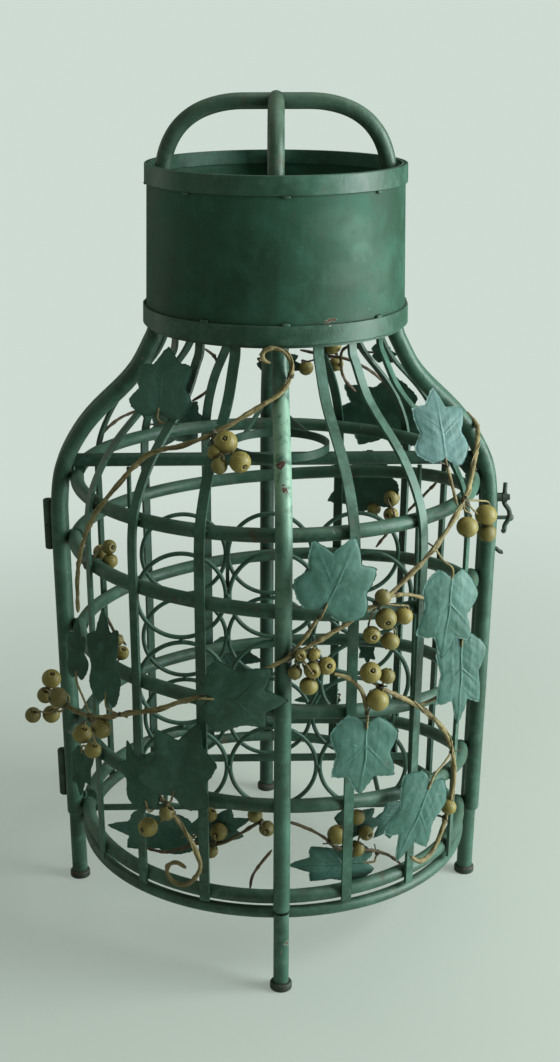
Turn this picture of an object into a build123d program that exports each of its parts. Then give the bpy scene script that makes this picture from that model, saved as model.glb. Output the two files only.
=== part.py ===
from build123d import *
import math
import os

# Bottle-shaped wrought-iron wine rack: a round cage whose front half is a hinged door, a
# sheet-metal neck collar with two crossed carrying handles, two grids of bottle rings inside,
# and a climbing vine with leaves and beads on the outside.
# Millimetres. +Z up, origin on the floor on the cage axis, door towards -Y,
# +X to the right of somebody facing the door. An azimuth runs from the front towards +X.

os.makedirs("parts", exist_ok=True)

Z_AXIS = Vector(0, 0, 1)
TOUCH_GAP = 0.05          # air left between parts that rest on each other

# Bottle outline, followed by the stile centre lines -------------------------------------
R_FOOT = 217.0            # at the floor
R_WAIST, Z_WAIST = 224.0, 430.0
R_NECK, Z_NECK = 119.5, 640.0
TAPER = (R_WAIST - R_FOOT) / Z_WAIST
# (radius, height) of the shoulder curve between waist and neck
SHOULDER = [
    (222.9, 452.0), (218.2, 482.0), (207.5, 506.5), (192.8, 529.0),
    (176.0, 547.5), (154.5, 568.0), (137.5, 589.0), (125.0, 613.0),
]

# Uprights and feet ----------------------------------------------------------------------
Z_FRAME_TOP = 668.0       # rear members run up inside the collar to here
Z_DOOR_TOP = 631.0        # door members stop just below the collar
Z_DOOR_FOOT = 87.0        # door tubes end here, above the base ring
STILE_R = 8.5             # side tubes
STILE_Y = 8.8             # door stile at -Y, frame stile at +Y
POST_R = 8.2              # front and rear tubes
POST_INSET = 0.3          # posts stand this much inside the outline
DOOR_TUBE_ROUNDING = 4.0
FOOT_R, FOOT_H = 11.0, 8.0
FOOT_TOP_ROUNDING, FOOT_BOTTOM_ROUNDING = 2.6, 1.4
LEG_R, LEG_WALL = 7.7, 1.6
LEG_Y = -(R_FOOT + 0.4)
Z_LEG_TOP = 85.0          # front leg's open top
LEG_BORE_H, LEG_BORE_OVERRUN = 28.2, 0.1

# Hoops, base ring and straps ------------------------------------------------------------
HOOP_R = 7.0
HOOP_STEPS = 24
BASE_RING_R, BASE_RING_TUBE_R, Z_BASE_RING = 203.2, 6.0, 77.5
# Each hoop is a list of (azimuth, height). The highest is nearly level and the ones below it
# wind down around the cage. Every half stops 2.35 degrees short of the side plane.
DOOR_HOOPS = [
    [(-87.65, 473.2), (0.0, 472.2), (87.65, 471.0)],
    [(-87.65, 408.0), (-64.0, 409.0), (-48.0, 407.4), (-25.0, 404.6), (-11.0, 401.2),
     (2.0, 397.6), (20.0, 391.6), (36.5, 385.6), (60.0, 375.6), (87.65, 362.0)],
    [(-87.65, 311.0), (-60.0, 310.2), (-34.0, 307.2), (-14.0, 301.8), (5.0, 296.0),
     (20.0, 290.8), (34.0, 285.2), (46.5, 280.6), (66.0, 273.0), (87.65, 264.0)],
    [(-87.65, 206.0), (-57.0, 204.4), (-20.0, 197.6), (5.0, 195.0), (22.0, 192.4),
     (36.0, 188.4), (54.0, 182.2), (66.0, 176.6), (87.65, 163.5)],
    [(-87.65, 99.6), (-30.0, 95.4), (0.0, 94.6), (35.0, 97.2), (87.65, 97.4)],
]
REAR_HOOPS = [
    [(92.35, 474.4), (180.0, 473.0), (267.65, 476.0)],
    [(92.35, 450.6), (114.0, 441.0), (126.5, 434.4), (150.0, 421.6), (173.0, 411.6),
     (189.0, 407.6), (205.0, 405.2), (234.0, 403.8), (267.65, 404.8)],
    [(92.35, 350.0), (101.0, 345.4), (115.0, 338.6), (133.6, 329.4), (145.0, 323.2),
     (160.0, 317.4), (180.0, 311.2), (200.0, 306.4), (218.0, 303.2), (240.0, 301.2),
     (267.65, 301.6)],
    [(92.35, 239.6), (112.0, 232.0), (123.0, 228.0), (132.0, 223.6), (150.0, 213.8),
     (172.0, 203.6), (190.0, 198.4), (210.0, 195.2), (240.0, 194.2), (267.65, 195.2)],
    [(92.35, 152.6), (100.0, 146.4), (109.0, 139.4), (121.0, 131.6), (130.5, 126.0),
     (145.0, 116.0), (158.0, 107.6), (172.0, 102.0), (190.0, 99.8), (267.65, 99.6)],
]
STRAP_W, STRAP_T = 10.0, 3.0
STRAP_NECK_RUN = 6.0      # least straight length above the neck, before trimming
Z_DOOR_STRAP_FOOT, Z_REAR_STRAP_FOOT = 88.0, 72.0
DOOR_STRAP_NECK_R, REAR_STRAP_NECK_R = 121.0, 126.4
# (azimuth at the waist, azimuth at the neck)
DOOR_STRAPS = [(-20.9, -20.3), (-40.6, -38.4), (-59.4, -55.0),
               (17.9, 17.4), (38.4, 34.8), (58.3, 54.0)]
REAR_STRAPS = [(-160.7, -162.0), (-139.5, -143.0), (-119.0, -124.0),
               (157.6, 159.5), (134.5, 140.0), (118.0, 123.0)]
NECK_STRIP_R, NECK_STRIP_BORE_R, NECK_STRIP_T = 128.6, 114.0, 2.5
NECK_STRIP_END_Y = -1.0

# Collar ---------------------------------------------------------------------------------
Z_COLLAR_BOTTOM, Z_COLLAR_TOP = 634.0, 789.0
R_COLLAR_BOTTOM, R_COLLAR_TOP = 129.8, 126.6      # outer face of the sheet
SHEET_T = 1.5
BAND_GAP = 0.02           # between the sheet and a band
BAND_RISE = 0.6           # the top bands stand above the sheet's rim
TOP_BAND_H, TOP_BAND_T, TOP_BAND_ROUNDING = 17.5, 2.3, 0.7
BOTTOM_BAND_H, BOTTOM_BAND_T, BOTTOM_BAND_ROUNDING = 18.5, 3.1, 0.9
INNER_BAND_H, INNER_BAND_T = 13.0, 2.0
# azimuths, ball radius, distance out from the sheet, height from the band's edge
TOP_LUGS = (range(2, 318, 45), 2.5, 1.6, -1.2)
BOTTOM_LUGS = ((-33, *range(2, 273, 45)), 2.3, 1.7, 1.0)

# Carrying handles -----------------------------------------------------------------------
HANDLE_R = 8.0
HANDLE_TOP = 847.4        # centre height of the flat top
HANDLE_COLLAR_GAP = 0.1
Z_HANDLE_FOOT, Z_HANDLE_BEND = 738.0, 752.0
HANDLE_CROSS_DIR = (0.0393, 0.99923)
HANDLE_NOTCH_L = 40
# (distance from axis, height) of the centre line from inside the collar to the flat top
HANDLE_CURVE = [
    (113.5, 772.0), (107.6, 798.2), (101.4, 813.1), (91.7, 826.1),
    (79.3, 835.8), (64.5, 842.4), (48.1, 846.2), (28.0, HANDLE_TOP),
]

# Bottle rack ----------------------------------------------------------------------------
BOTTLE_RING_R, WIRE_R = 47.4, 2.4
SIDE_WELD_R, STACK_WELD_R = 3.3, 3.0              # balls between columns and between rows
FRONT_GRID_Y, REAR_GRID_Y = 0.0, 118.0
FRONT_PITCH_X, REAR_PITCH_X = 98.6, 97.6
FRONT_ROWS = [337.8, 237.2, 136.6]
REAR_ROWS = [343.7, 243.4, 143.1]
Z_TOP_BAR, TOP_BAR_HALF = 486.0, 208.4
BAR_T = 3.0
FRONT_BAR_H, FRONT_BAR_HALF = 6.4, 210.2
REAR_BAR_H, REAR_BAR_HALF = 8.4, 165.0
Z_BAR_BOTTOM = Z_BASE_RING + BASE_RING_TUBE_R + TOUCH_GAP
Z_FRONT_BAR = Z_BAR_BOTTOM + FRONT_BAR_H / 2
FRONT_BAR_Y = FRONT_GRID_Y + WIRE_R + TOUCH_GAP + BAR_T / 2
REAR_BAR_Y = REAR_GRID_Y + WIRE_R + TOUCH_GAP + BAR_T / 2
ROD_X, Z_ROD_TOP = 151.2, 479.2
SHORT_FLAT_SIZE = (4.0, 2.6, 62.0)
SHORT_FLAT_PLACE = (-FRONT_PITCH_X / 2, FRONT_BAR_Y + 0.2, 376.0)
SPACER_X, SPACER_R = 120.0, 2.6
FLAT_HOOP_X, FLAT_HOOP_Y = 5.0, 20.0
FLAT_HOOP_R, FLAT_HOOP_BORE_R, FLAT_HOOP_H = 53.0, 50.2, 8.5
STAY_T, STAY_H = 2.6, 6.0
STAY_FRONT_DX, STAY_FRONT_DY = 36.8, 37.2         # front end, from the hoop's centre
STAY_REAR_X, STAY_REAR_Y = 6.0, 199.0

# Hinges, at the left stiles -------------------------------------------------------------
KNUCKLE_R, KNUCKLE_ROUNDING = 5.5, 2.0
PIN_R = 3.0
DOOR_BORE_R = 3.05        # running bore in the door knuckle
HINGES = [(106.5, 161.0), (392.5, 447.0)]         # bottom and top of each hinge
HINGE_SPLIT = 0.6         # air between the two halves
KNUCKLE_CAP = 5           # solid end of each knuckle
KNUCKLE_BORE_H = 100
PIN_TOP_GAP = 0.6
PLATE_T = 3.0
PLATE_STILE_GAP = 0.02
PLATE_END_INSET, PLATE_SPLIT_INSET = 4, 1
HINGE_DISTANCE = KNUCKLE_R + STILE_R + 0.35       # hinge line to stile line
HINGE_DX = math.sqrt(HINGE_DISTANCE ** 2 - STILE_Y ** 2)

# Latch, at the right stiles -------------------------------------------------------------
LATCH_Y, LATCH_Z = -8.8, 447.5                    # axis of the hook's pivot pin
HOOK_X = 239.1
HOOK_EYE_R, HOOK_EYE_T = 5.0, 5.0
HOOK_BORE_R, HOOK_ROD_R = 2.05, 2.5
# (x, y from the pivot, z from the pivot) along the hook's rod
HOOK_PATH = [
    (HOOK_X, 0, -3.2), (239.2, 0, -6.2), (243.4, 0, -12.6), (245.2, 0, -18.5),
    (243.4, 0, -26.0), (240.8, -0.2, -31.0), (239.9, -2.8, -34.6), (238.9, -6.0, -35.2),
    (237.9, -8.6, -33.6),
]
# (x centre, radius, length) of the boss, pin and head on the pivot axis
PIVOT_STEPS = [(233.0, 4.6, 6.4), (237.0, 2.0, 12.0), (243.2, 3.2, 2.4)]
KEEPER_Y, KEEPER_Z = 6.0, 420.5
KEEPER_X, KEEPER_R, KEEPER_L = 238.2, 2.1, 16.4
KEEPER_BALL_X, KEEPER_BALL_R = 248.6, 4.0
DOOR_STUB_R = 2.2
DOOR_STUB_PATH = [(229.8, -STILE_Y, 391.5), (234.0, -STILE_Y, 390.2),
                  (237.2, -STILE_Y, 387.6), (240.0, -STILE_Y, 387.4)]


# Shared helpers -------------------------------------------------------------------------
def save(name, *shapes):
    """Write all solids of the shapes as one labelled STEP file."""
    solids = [solid for shape in shapes for solid in shape.solids()]
    body = solids[0] if len(solids) == 1 else Compound(children=solids)
    body.label = name
    export_step(body, f"parts/{name}.step")


def polar(azimuth, radius):
    """Plan position (x, y) at an azimuth."""
    angle = math.radians(azimuth)
    return radius * math.sin(angle), -radius * math.cos(angle)


def outline_radius(z):
    """Stile centre radius on the straight, slightly flared lower part."""
    return R_FOOT + TAPER * z


def shoulder_offset(waist_offset, neck_offset):
    """Waist-to-neck curve moved out along its normal, by an offset that varies linearly."""
    points = [(R_WAIST, Z_WAIST)] + SHOULDER + [(R_NECK, Z_NECK)]
    last = len(points) - 1
    moved = []
    for i, (r, z) in enumerate(points):
        before, after = points[max(i - 1, 0)], points[min(i + 1, last)]
        tangent_r, tangent_z = after[0] - before[0], after[1] - before[1]
        if i == 0:
            tangent_r, tangent_z = TAPER, 1.0
        if i == last:
            tangent_r, tangent_z = 0.0, 1.0
        norm = math.hypot(tangent_r, tangent_z)
        offset = waist_offset + (neck_offset - waist_offset) * i / last
        moved.append((r + offset * tangent_z / norm, z - offset * tangent_r / norm))
    return moved


def shoulder_edge(curve, place):
    """Spline through (radius, height) points, tangent to the flare below and vertical above."""
    flare = (place(outline_radius(1.0), 1.0) - place(outline_radius(0.0), 0.0)).normalized()
    return Edge.make_spline([place(*point) for point in curve], tangents=[flare, Z_AXIS])


def trim_above(solid, z):
    return solid - Pos(0, 0, z + 100) * Box(600, 600, 200)


def sweep_round(path, first_edge, radius):
    """Round bar along a path that starts with first_edge."""
    section = Plane(origin=first_edge @ 0, z_dir=first_edge % 0) * Circle(radius)
    return sweep(section, path=path)


def bent_wire(points, radius):
    """Round bar along a smooth curve through the points."""
    path = Edge.make_spline([Vector(*point) for point in points])
    return sweep_round(path, path, radius)


def x_cylinder(x, y, z, radius, length):
    """Cylinder centred on a point, with its axis along X."""
    return Pos(x, y, z) * Rot(0, 90, 0) * Cylinder(radius, length)


# Uprights -------------------------------------------------------------------------------
def upright(direction, y_shift, radius, z_bottom, z_top, inset=0.0):
    """Tube that is straight and flared to the waist, then curves into the neck."""
    dx, dy = direction

    def place(r, z):
        return Vector(dx * r, dy * r + y_shift, z)

    curve = shoulder_offset(-inset, -inset)
    lower = Edge.make_line(place(outline_radius(z_bottom) - inset, z_bottom), place(*curve[0]))
    edges = [lower, shoulder_edge(curve, place)]
    if z_top > Z_NECK:
        edges.append(Edge.make_line(place(*curve[-1]), place(curve[-1][0], z_top)))
    tube = sweep_round(Wire(edges), lower, radius)
    return trim_above(tube, z_top) if z_top < Z_NECK else tube


def door_upright(direction, y_shift, radius, inset=0.0):
    """Upright of the door, with a rounded lower end."""
    tube = upright(direction, y_shift, radius, Z_DOOR_FOOT, Z_DOOR_TOP, inset)
    # Guards the fillet of the lowest circular edge: if it fails, the end stays square.
    try:
        edge = tube.edges().filter_by(GeomType.CIRCLE).sort_by(Axis.Z)[0]
        return fillet(edge, DOOR_TUBE_ROUNDING)
    except Exception:
        return tube


for side, dx in (("left", -1), ("right", 1)):
    frame_stile = upright((dx, 0), STILE_Y, STILE_R, FOOT_H, Z_FRAME_TOP)
    save(f"frame_stile_{side}", frame_stile)
    save(f"door_stile_{side}", door_upright((dx, 0), -STILE_Y, STILE_R))
save("rear_post", upright((0, 1), 0, POST_R, FOOT_H, Z_FRAME_TOP, POST_INSET))
save("door_post", door_upright((0, -1), 0, POST_R, POST_INSET))


# Front leg and feet ---------------------------------------------------------------------
def front_leg():
    """Tube under the door post, open at the top."""
    leg = Pos(0, LEG_Y, (FOOT_H + Z_LEG_TOP) / 2) * Cylinder(LEG_R, Z_LEG_TOP - FOOT_H)
    z_bore = Z_LEG_TOP + LEG_BORE_OVERRUN - LEG_BORE_H / 2
    return leg - Pos(0, LEG_Y, z_bore) * Cylinder(LEG_R - LEG_WALL, LEG_BORE_H)


def foot(x, y):
    disc = Pos(x, y, FOOT_H / 2) * Cylinder(FOOT_R, FOOT_H)
    top = disc.edges().filter_by(GeomType.CIRCLE).sort_by(Axis.Z)[-1]
    disc = fillet(top, FOOT_TOP_ROUNDING)
    bottom = disc.edges().filter_by(GeomType.CIRCLE).sort_by(Axis.Z)[0]
    return fillet(bottom, FOOT_BOTTOM_ROUNDING)


FOOT_PLACES = [(-R_FOOT, STILE_Y), (R_FOOT, STILE_Y), (0, R_FOOT - POST_INSET), (0, LEG_Y)]
save("front_leg", front_leg())
save("feet", *[foot(x, y) for x, y in FOOT_PLACES])


# Hoops and base ring --------------------------------------------------------------------
def fine_outline():
    """Closely spaced (radius, height) points on the stile centre line, up to the shoulder."""
    coarse = [(outline_radius(z), z) for z in range(0, 430, 5)]
    coarse += [(R_WAIST, Z_WAIST)] + SHOULDER
    steps = 8
    return [(r0 + (r1 - r0) * k / steps, z0 + (z1 - z0) * k / steps)
            for (r0, z0), (r1, z1) in zip(coarse[:-1], coarse[1:]) for k in range(steps)]


FINE_OUTLINE = fine_outline()


def hoop_radius(z):
    """Radius at which a hoop just clears the inside of the stiles, found by bisection."""
    clearance = STILE_R + HOOP_R + TOUCH_GAP
    low, high = 150.0, 215.0
    for _ in range(40):
        middle = (low + high) / 2
        if min(math.hypot(middle - r, z - height) for r, height in FINE_OUTLINE) > clearance:
            low = middle
        else:
            high = middle
    return low


def hoop_height(table, azimuth):
    """Height of a hoop at an azimuth: cubic Hermite interpolation of its table."""
    count = len(table)

    def slope(i):
        before, after = table[max(i - 1, 0)], table[min(i + 1, count - 1)]
        return (after[1] - before[1]) / (after[0] - before[0])

    i = 0
    while i < count - 2 and azimuth > table[i + 1][0]:
        i += 1
    (a0, z0), (a1, z1) = table[i], table[i + 1]
    span = a1 - a0
    t = (azimuth - a0) / span
    return ((2 * t ** 3 - 3 * t ** 2 + 1) * z0
            + (t ** 3 - 2 * t ** 2 + t) * span * slope(i)
            + (3 * t ** 2 - 2 * t ** 3) * z1
            + (t ** 3 - t ** 2) * span * slope(i + 1))


def hoop(table):
    """Round bar just inside the uprights, from one stile to the other."""
    start, end = table[0][0], table[-1][0]
    points = []
    for k in range(HOOP_STEPS + 1):
        azimuth = start + (end - start) * k / HOOP_STEPS
        z = hoop_height(table, azimuth)
        points.append((*polar(azimuth, hoop_radius(z)), z))
    return bent_wire(points, HOOP_R)


for prefix, tables in (("door_hoop", DOOR_HOOPS), ("rear_hoop", REAR_HOOPS)):
    for number, table in enumerate(tables, start=1):
        save(f"{prefix}_{number}", hoop(table))
save("base_ring", Pos(0, 0, Z_BASE_RING) * Torus(BASE_RING_R, BASE_RING_TUBE_R))


# Straps and neck strip ------------------------------------------------------------------
def strap(waist_azimuth, neck_azimuth, z_bottom, z_top, neck_r):
    """Flat bar outside the hoops that follows the bottle outline in one vertical plane."""
    half_t = STRAP_T / 2
    waist_offset = -(STILE_R - half_t)
    neck_offset = neck_r - R_NECK
    inner = shoulder_offset(waist_offset - half_t, neck_offset - half_t)
    outer = shoulder_offset(waist_offset + half_t, neck_offset + half_t)
    waist_r = R_WAIST + waist_offset
    waist_x, waist_y = polar(waist_azimuth, waist_r)
    neck_x, neck_y = polar(neck_azimuth, neck_r)

    def place(r, z):
        f = (r - neck_r) / (waist_r - neck_r)
        return Vector(neck_x + (waist_x - neck_x) * f, neck_y + (waist_y - neck_y) * f, z)

    drop = TAPER * (Z_WAIST - z_bottom)
    z_end = max(z_top, Z_NECK + STRAP_NECK_RUN)
    inner_foot = place(inner[0][0] - drop, z_bottom)
    outer_foot = place(outer[0][0] - drop, z_bottom)
    inner_end = place(inner[-1][0], z_end)
    outer_end = place(outer[-1][0], z_end)
    side = Face(Wire([
        Edge.make_line(inner_foot, place(*inner[0])),
        shoulder_edge(inner, place),
        Edge.make_line(place(*inner[-1]), inner_end),
        Edge.make_line(inner_end, outer_end),
        Edge.make_line(outer_end, place(*outer[-1])),
        shoulder_edge(outer, place),
        Edge.make_line(place(*outer[0]), outer_foot),
        Edge.make_line(outer_foot, inner_foot),
    ]))
    bar = extrude(side, amount=STRAP_W / 2, both=True)
    return trim_above(bar, z_top) if z_top < Z_NECK else bar


def door_neck_strip():
    """Flat half ring on top of the door, right under the collar."""
    ring = Cylinder(NECK_STRIP_R, NECK_STRIP_T) - Cylinder(NECK_STRIP_BORE_R, 4.0)
    ring = Pos(0, 0, Z_DOOR_TOP + NECK_STRIP_T / 2) * ring
    return ring - Pos(0, 200 + NECK_STRIP_END_Y, Z_DOOR_TOP) * Box(600, 400, 20)


save("door_straps", *[strap(waist, neck, Z_DOOR_STRAP_FOOT, Z_DOOR_TOP, DOOR_STRAP_NECK_R)
                      for waist, neck in DOOR_STRAPS])
save("rear_straps", *[strap(waist, neck, Z_REAR_STRAP_FOOT, Z_FRAME_TOP, REAR_STRAP_NECK_R)
                      for waist, neck in REAR_STRAPS])
save("door_neck_strip", door_neck_strip())


# Collar ---------------------------------------------------------------------------------
def sheet_r(z):
    """Outer radius of the collar sheet at a height."""
    f = (z - Z_COLLAR_BOTTOM) / (Z_COLLAR_TOP - Z_COLLAR_BOTTOM)
    return R_COLLAR_BOTTOM + (R_COLLAR_TOP - R_COLLAR_BOTTOM) * f


def cone_ring(z0, z1, r0, r1, thickness):
    """Conical ring; r0 and r1 are its inner radii at z0 and z1."""
    outline = Polyline((r0, z0), (r1, z1), (r1 + thickness, z1), (r0 + thickness, z0),
                       close=True)
    return revolve(make_face(Plane.XZ * outline), Axis.Z)


def outer_band(z0, z1, thickness, rounding):
    """Band around the outside of the sheet, with its two outer edges rounded."""
    band = cone_ring(z0, z1, sheet_r(z0) + BAND_GAP, sheet_r(z1) + BAND_GAP, thickness)
    circles = band.edges().filter_by(GeomType.CIRCLE)
    return fillet(circles.sort_by(lambda e: -e.radius)[0:2], rounding)


def weld_lugs(z_edge, azimuths, radius, out, rise):
    """Balls along the edge of a band."""
    places = [polar(azimuth, sheet_r(z_edge) + out) for azimuth in azimuths]
    return [Pos(x, y, z_edge + rise) * Sphere(radius) for x, y in places]


z_rim = Z_COLLAR_TOP + BAND_RISE
z_top_band = Z_COLLAR_TOP - TOP_BAND_H
z_bottom_band = Z_COLLAR_BOTTOM + BOTTOM_BAND_H
z_inner_band = Z_COLLAR_TOP - INNER_BAND_H
inner_band_inset = SHEET_T + INNER_BAND_T + BAND_GAP
save("collar_sheet", cone_ring(Z_COLLAR_BOTTOM, Z_COLLAR_TOP, R_COLLAR_BOTTOM - SHEET_T,
                               R_COLLAR_TOP - SHEET_T, SHEET_T))
save("collar_top_band", outer_band(z_top_band, z_rim, TOP_BAND_T, TOP_BAND_ROUNDING))
save("collar_bottom_band",
     outer_band(Z_COLLAR_BOTTOM, z_bottom_band, BOTTOM_BAND_T, BOTTOM_BAND_ROUNDING))
save("collar_inner_band",
     cone_ring(z_inner_band, z_rim, sheet_r(z_inner_band) - inner_band_inset,
               R_COLLAR_TOP - inner_band_inset, INNER_BAND_T))
save("collar_weld_lugs",
     *weld_lugs(z_top_band, *TOP_LUGS), *weld_lugs(z_bottom_band, *BOTTOM_LUGS))


# Carrying handles -----------------------------------------------------------------------
def handle(dx, dy):
    """Arch across the collar; both ends run down inside the sheet."""

    def place(distance, z):
        return Vector(dx * distance, dy * distance, z)

    halves = []
    for s in (1, -1):
        foot_point, bend_point = [
            place(s * (sheet_r(z) - SHEET_T - HANDLE_R - HANDLE_COLLAR_GAP), z)
            for z in (Z_HANDLE_FOOT, Z_HANDLE_BEND)]
        bend = [bend_point] + [place(s * distance, z) for distance, z in HANDLE_CURVE]
        tangents = [(bend_point - foot_point).normalized(), place(-s, 0.0)]
        halves.append([Edge.make_line(foot_point, bend_point),
                       Edge.make_spline(bend, tangents=tangents)])
    flat, top = HANDLE_CURVE[-1]
    flat_top = [Edge.make_line(place(flat, top), place(-flat, top))]
    return sweep_round(Wire(halves[0] + flat_top + halves[1]), halves[0][0], HANDLE_R)


save("handle_arch_side", handle(1, 0))
# The second arch is cut away where the first one passes through it.
save("handle_arch_cross", handle(*HANDLE_CROSS_DIR)
     - x_cylinder(0, 0, HANDLE_TOP, HANDLE_R, HANDLE_NOTCH_L))


# Bottle rack ----------------------------------------------------------------------------
def ring_grid(y, pitch_x, rows):
    """Three columns of bottle rings joined by weld balls."""
    columns = (-1, 0, 1)
    pieces = [Pos(column * pitch_x, y, z) * Rot(90, 0, 0) * Torus(BOTTLE_RING_R, WIRE_R)
              for column in columns for z in rows]
    pieces += [Pos(between * pitch_x, y, z) * Sphere(SIDE_WELD_R)
               for z in rows for between in (-0.5, 0.5)]
    pieces += [Pos(column * pitch_x, y, (upper + lower) / 2) * Sphere(STACK_WELD_R)
               for upper, lower in zip(rows[:-1], rows[1:]) for column in columns]
    grid = pieces[0]
    for piece in pieces[1:]:
        grid = grid + piece
    return grid


def side_rods():
    """Two upright rods on the front bar, and a short upright flat between two columns."""
    z_foot = Z_BAR_BOTTOM + FRONT_BAR_H
    rods = [Pos(s * ROD_X, FRONT_BAR_Y, (z_foot + Z_ROD_TOP) / 2)
            * Cylinder(WIRE_R, Z_ROD_TOP - z_foot) for s in (-1, 1)]
    return rods + [Pos(*SHORT_FLAT_PLACE) * Box(*SHORT_FLAT_SIZE)]


def spacers():
    """Rods between the front and rear bars."""
    y0, y1 = FRONT_BAR_Y + BAR_T / 2, REAR_BAR_Y - BAR_T / 2
    return [Pos(s * SPACER_X, (y0 + y1) / 2, Z_FRONT_BAR) * Rot(90, 0, 0)
            * Cylinder(SPACER_R, y1 - y0) for s in (-1, 1)]


def neck_hoop():
    """Flat hoop lying on the top bar, with two stays towards the rear post."""
    z_bottom = Z_TOP_BAR + HOOP_R + TOUCH_GAP
    ring = Cylinder(FLAT_HOOP_R, FLAT_HOOP_H) - Cylinder(FLAT_HOOP_BORE_R, FLAT_HOOP_H + 2)
    result = Pos(FLAT_HOOP_X, FLAT_HOOP_Y, z_bottom + FLAT_HOOP_H / 2) * ring
    z_stay = z_bottom + STAY_H / 2
    for s in (-1, 1):
        front = Vector(FLAT_HOOP_X + s * STAY_FRONT_DX, FLAT_HOOP_Y + STAY_FRONT_DY, z_stay)
        rear = Vector(s * STAY_REAR_X, STAY_REAR_Y, z_stay)
        middle, run = (front + rear) * 0.5, rear - front
        turn = Rot(0, 0, math.degrees(math.atan2(run.Y, run.X)))
        stay = Pos(middle.X, middle.Y, middle.Z) * turn * Box(run.length, STAY_T, STAY_H)
        result = result + stay
    return result


save("rack_front_rings", ring_grid(FRONT_GRID_Y, FRONT_PITCH_X, FRONT_ROWS))
save("rack_rear_rings", ring_grid(REAR_GRID_Y, REAR_PITCH_X, REAR_ROWS))
save("rack_top_bar", x_cylinder(0, STILE_Y, Z_TOP_BAR, HOOP_R, 2 * TOP_BAR_HALF))
save("rack_front_bar",
     Pos(0, FRONT_BAR_Y, Z_FRONT_BAR) * Box(2 * FRONT_BAR_HALF, BAR_T, FRONT_BAR_H))
save("rack_rear_bar", Pos(0, REAR_BAR_Y, Z_BAR_BOTTOM + REAR_BAR_H / 2)
     * Box(2 * REAR_BAR_HALF, BAR_T, REAR_BAR_H))
save("rack_side_rods", *side_rods())
save("rack_spacers", *spacers())
save("neck_hoop", neck_hoop())


# Hinges ---------------------------------------------------------------------------------
# Built along a vertical line through the local origin, then leaned with the stiles.
LEAN = math.degrees(math.atan(TAPER))
HINGE_PLACE = Pos(-(R_FOOT + HINGE_DX), 0, 0) * Rot(0, -LEAN, 0)


def hinge_plate(y_side, z0, z1, bore_r):
    """Short plate that ties a knuckle to the stile on its y side."""
    angle = math.degrees(math.atan2(y_side * STILE_Y, HINGE_DX))
    height, middle = z1 - z0, (z0 + z1) / 2
    plate = (Rot(0, 0, angle) * Pos(HINGE_DISTANCE / 2, 0, middle)
             * Box(HINGE_DISTANCE, PLATE_T, height))
    plate -= (Pos(HINGE_DX, y_side * STILE_Y, middle)
              * Cylinder(STILE_R + PLATE_STILE_GAP, height + 20))
    hinge_end = sorted(plate.solids(), key=lambda solid: solid.center().X)[0]
    return hinge_end - Pos(0, 0, middle) * Cylinder(bore_r, height + 20)


def knuckle(z0, z1, outer_edge, z_bore, bore_r):
    """Blind-bored barrel; outer_edge picks its lowest (0) or highest (-1) circle to round."""
    barrel = Pos(0, 0, (z0 + z1) / 2) * Cylinder(KNUCKLE_R, z1 - z0)
    edge = barrel.edges().filter_by(GeomType.CIRCLE).sort_by(Axis.Z)[outer_edge]
    barrel = fillet(edge, KNUCKLE_ROUNDING)
    return barrel - Pos(0, 0, z_bore) * Cylinder(bore_r, KNUCKLE_BORE_H)


def frame_knuckle(z0, z1):
    """Lower half of a hinge, which holds the pin."""
    z_split = (z0 + z1) / 2 - HINGE_SPLIT / 2
    barrel = knuckle(z0, z_split, 0, z0 + KNUCKLE_CAP + KNUCKLE_BORE_H / 2, PIN_R)
    return HINGE_PLACE * (barrel + hinge_plate(
        1, z0 + PLATE_END_INSET, z_split - PLATE_SPLIT_INSET, PIN_R))


def door_knuckle(z0, z1):
    """Upper half of a hinge, which turns on the pin."""
    z_split = (z0 + z1) / 2 + HINGE_SPLIT / 2
    barrel = knuckle(z_split, z1, -1, z1 - KNUCKLE_CAP - KNUCKLE_BORE_H / 2, DOOR_BORE_R)
    return HINGE_PLACE * (barrel + hinge_plate(
        -1, z_split + PLATE_SPLIT_INSET, z1 - PLATE_END_INSET, DOOR_BORE_R))


def hinge_pin(z0, z1):
    bottom, top = z0 + KNUCKLE_CAP + TOUCH_GAP, z1 - KNUCKLE_CAP - PIN_TOP_GAP
    return HINGE_PLACE * (Pos(0, 0, (bottom + top) / 2) * Cylinder(PIN_R, top - bottom))


save("hinge_frame_knuckles", *[frame_knuckle(z0, z1) for z0, z1 in HINGES])
save("hinge_door_knuckles", *[door_knuckle(z0, z1) for z0, z1 in HINGES])
save("hinge_pins", *[hinge_pin(z0, z1) for z0, z1 in HINGES])


# Latch ----------------------------------------------------------------------------------
def latch_pivot():
    boss, pin, head = [x_cylinder(x, LATCH_Y, LATCH_Z, radius, length)
                       for x, radius, length in PIVOT_STEPS]
    return boss + pin + head


def latch_hook():
    """Eye on the pivot, a short tapered stub above it and a bent rod below."""
    eye = x_cylinder(HOOK_X, LATCH_Y, LATCH_Z, HOOK_EYE_R, HOOK_EYE_T)
    stub_plane = Plane(origin=(HOOK_X, LATCH_Y, LATCH_Z + 3.4), z_dir=(0.02, 0, 1))
    stub = Solid.make_cone(2.4, 2.2, 12.0, stub_plane)
    rod = bent_wire([(x, LATCH_Y + y, LATCH_Z + z) for x, y, z in HOOK_PATH], HOOK_ROD_R)
    hook = eye + stub + rod - x_cylinder(HOOK_X, LATCH_Y, LATCH_Z, HOOK_BORE_R, 12.0)
    return hook.solids().sort_by(SortBy.VOLUME)[-1]


def latch_keeper():
    """Pin on the frame stile with a ball end."""
    pin = x_cylinder(KEEPER_X, KEEPER_Y, KEEPER_Z, KEEPER_R, KEEPER_L)
    return pin + Pos(KEEPER_BALL_X, KEEPER_Y, KEEPER_Z) * Sphere(KEEPER_BALL_R)


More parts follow.
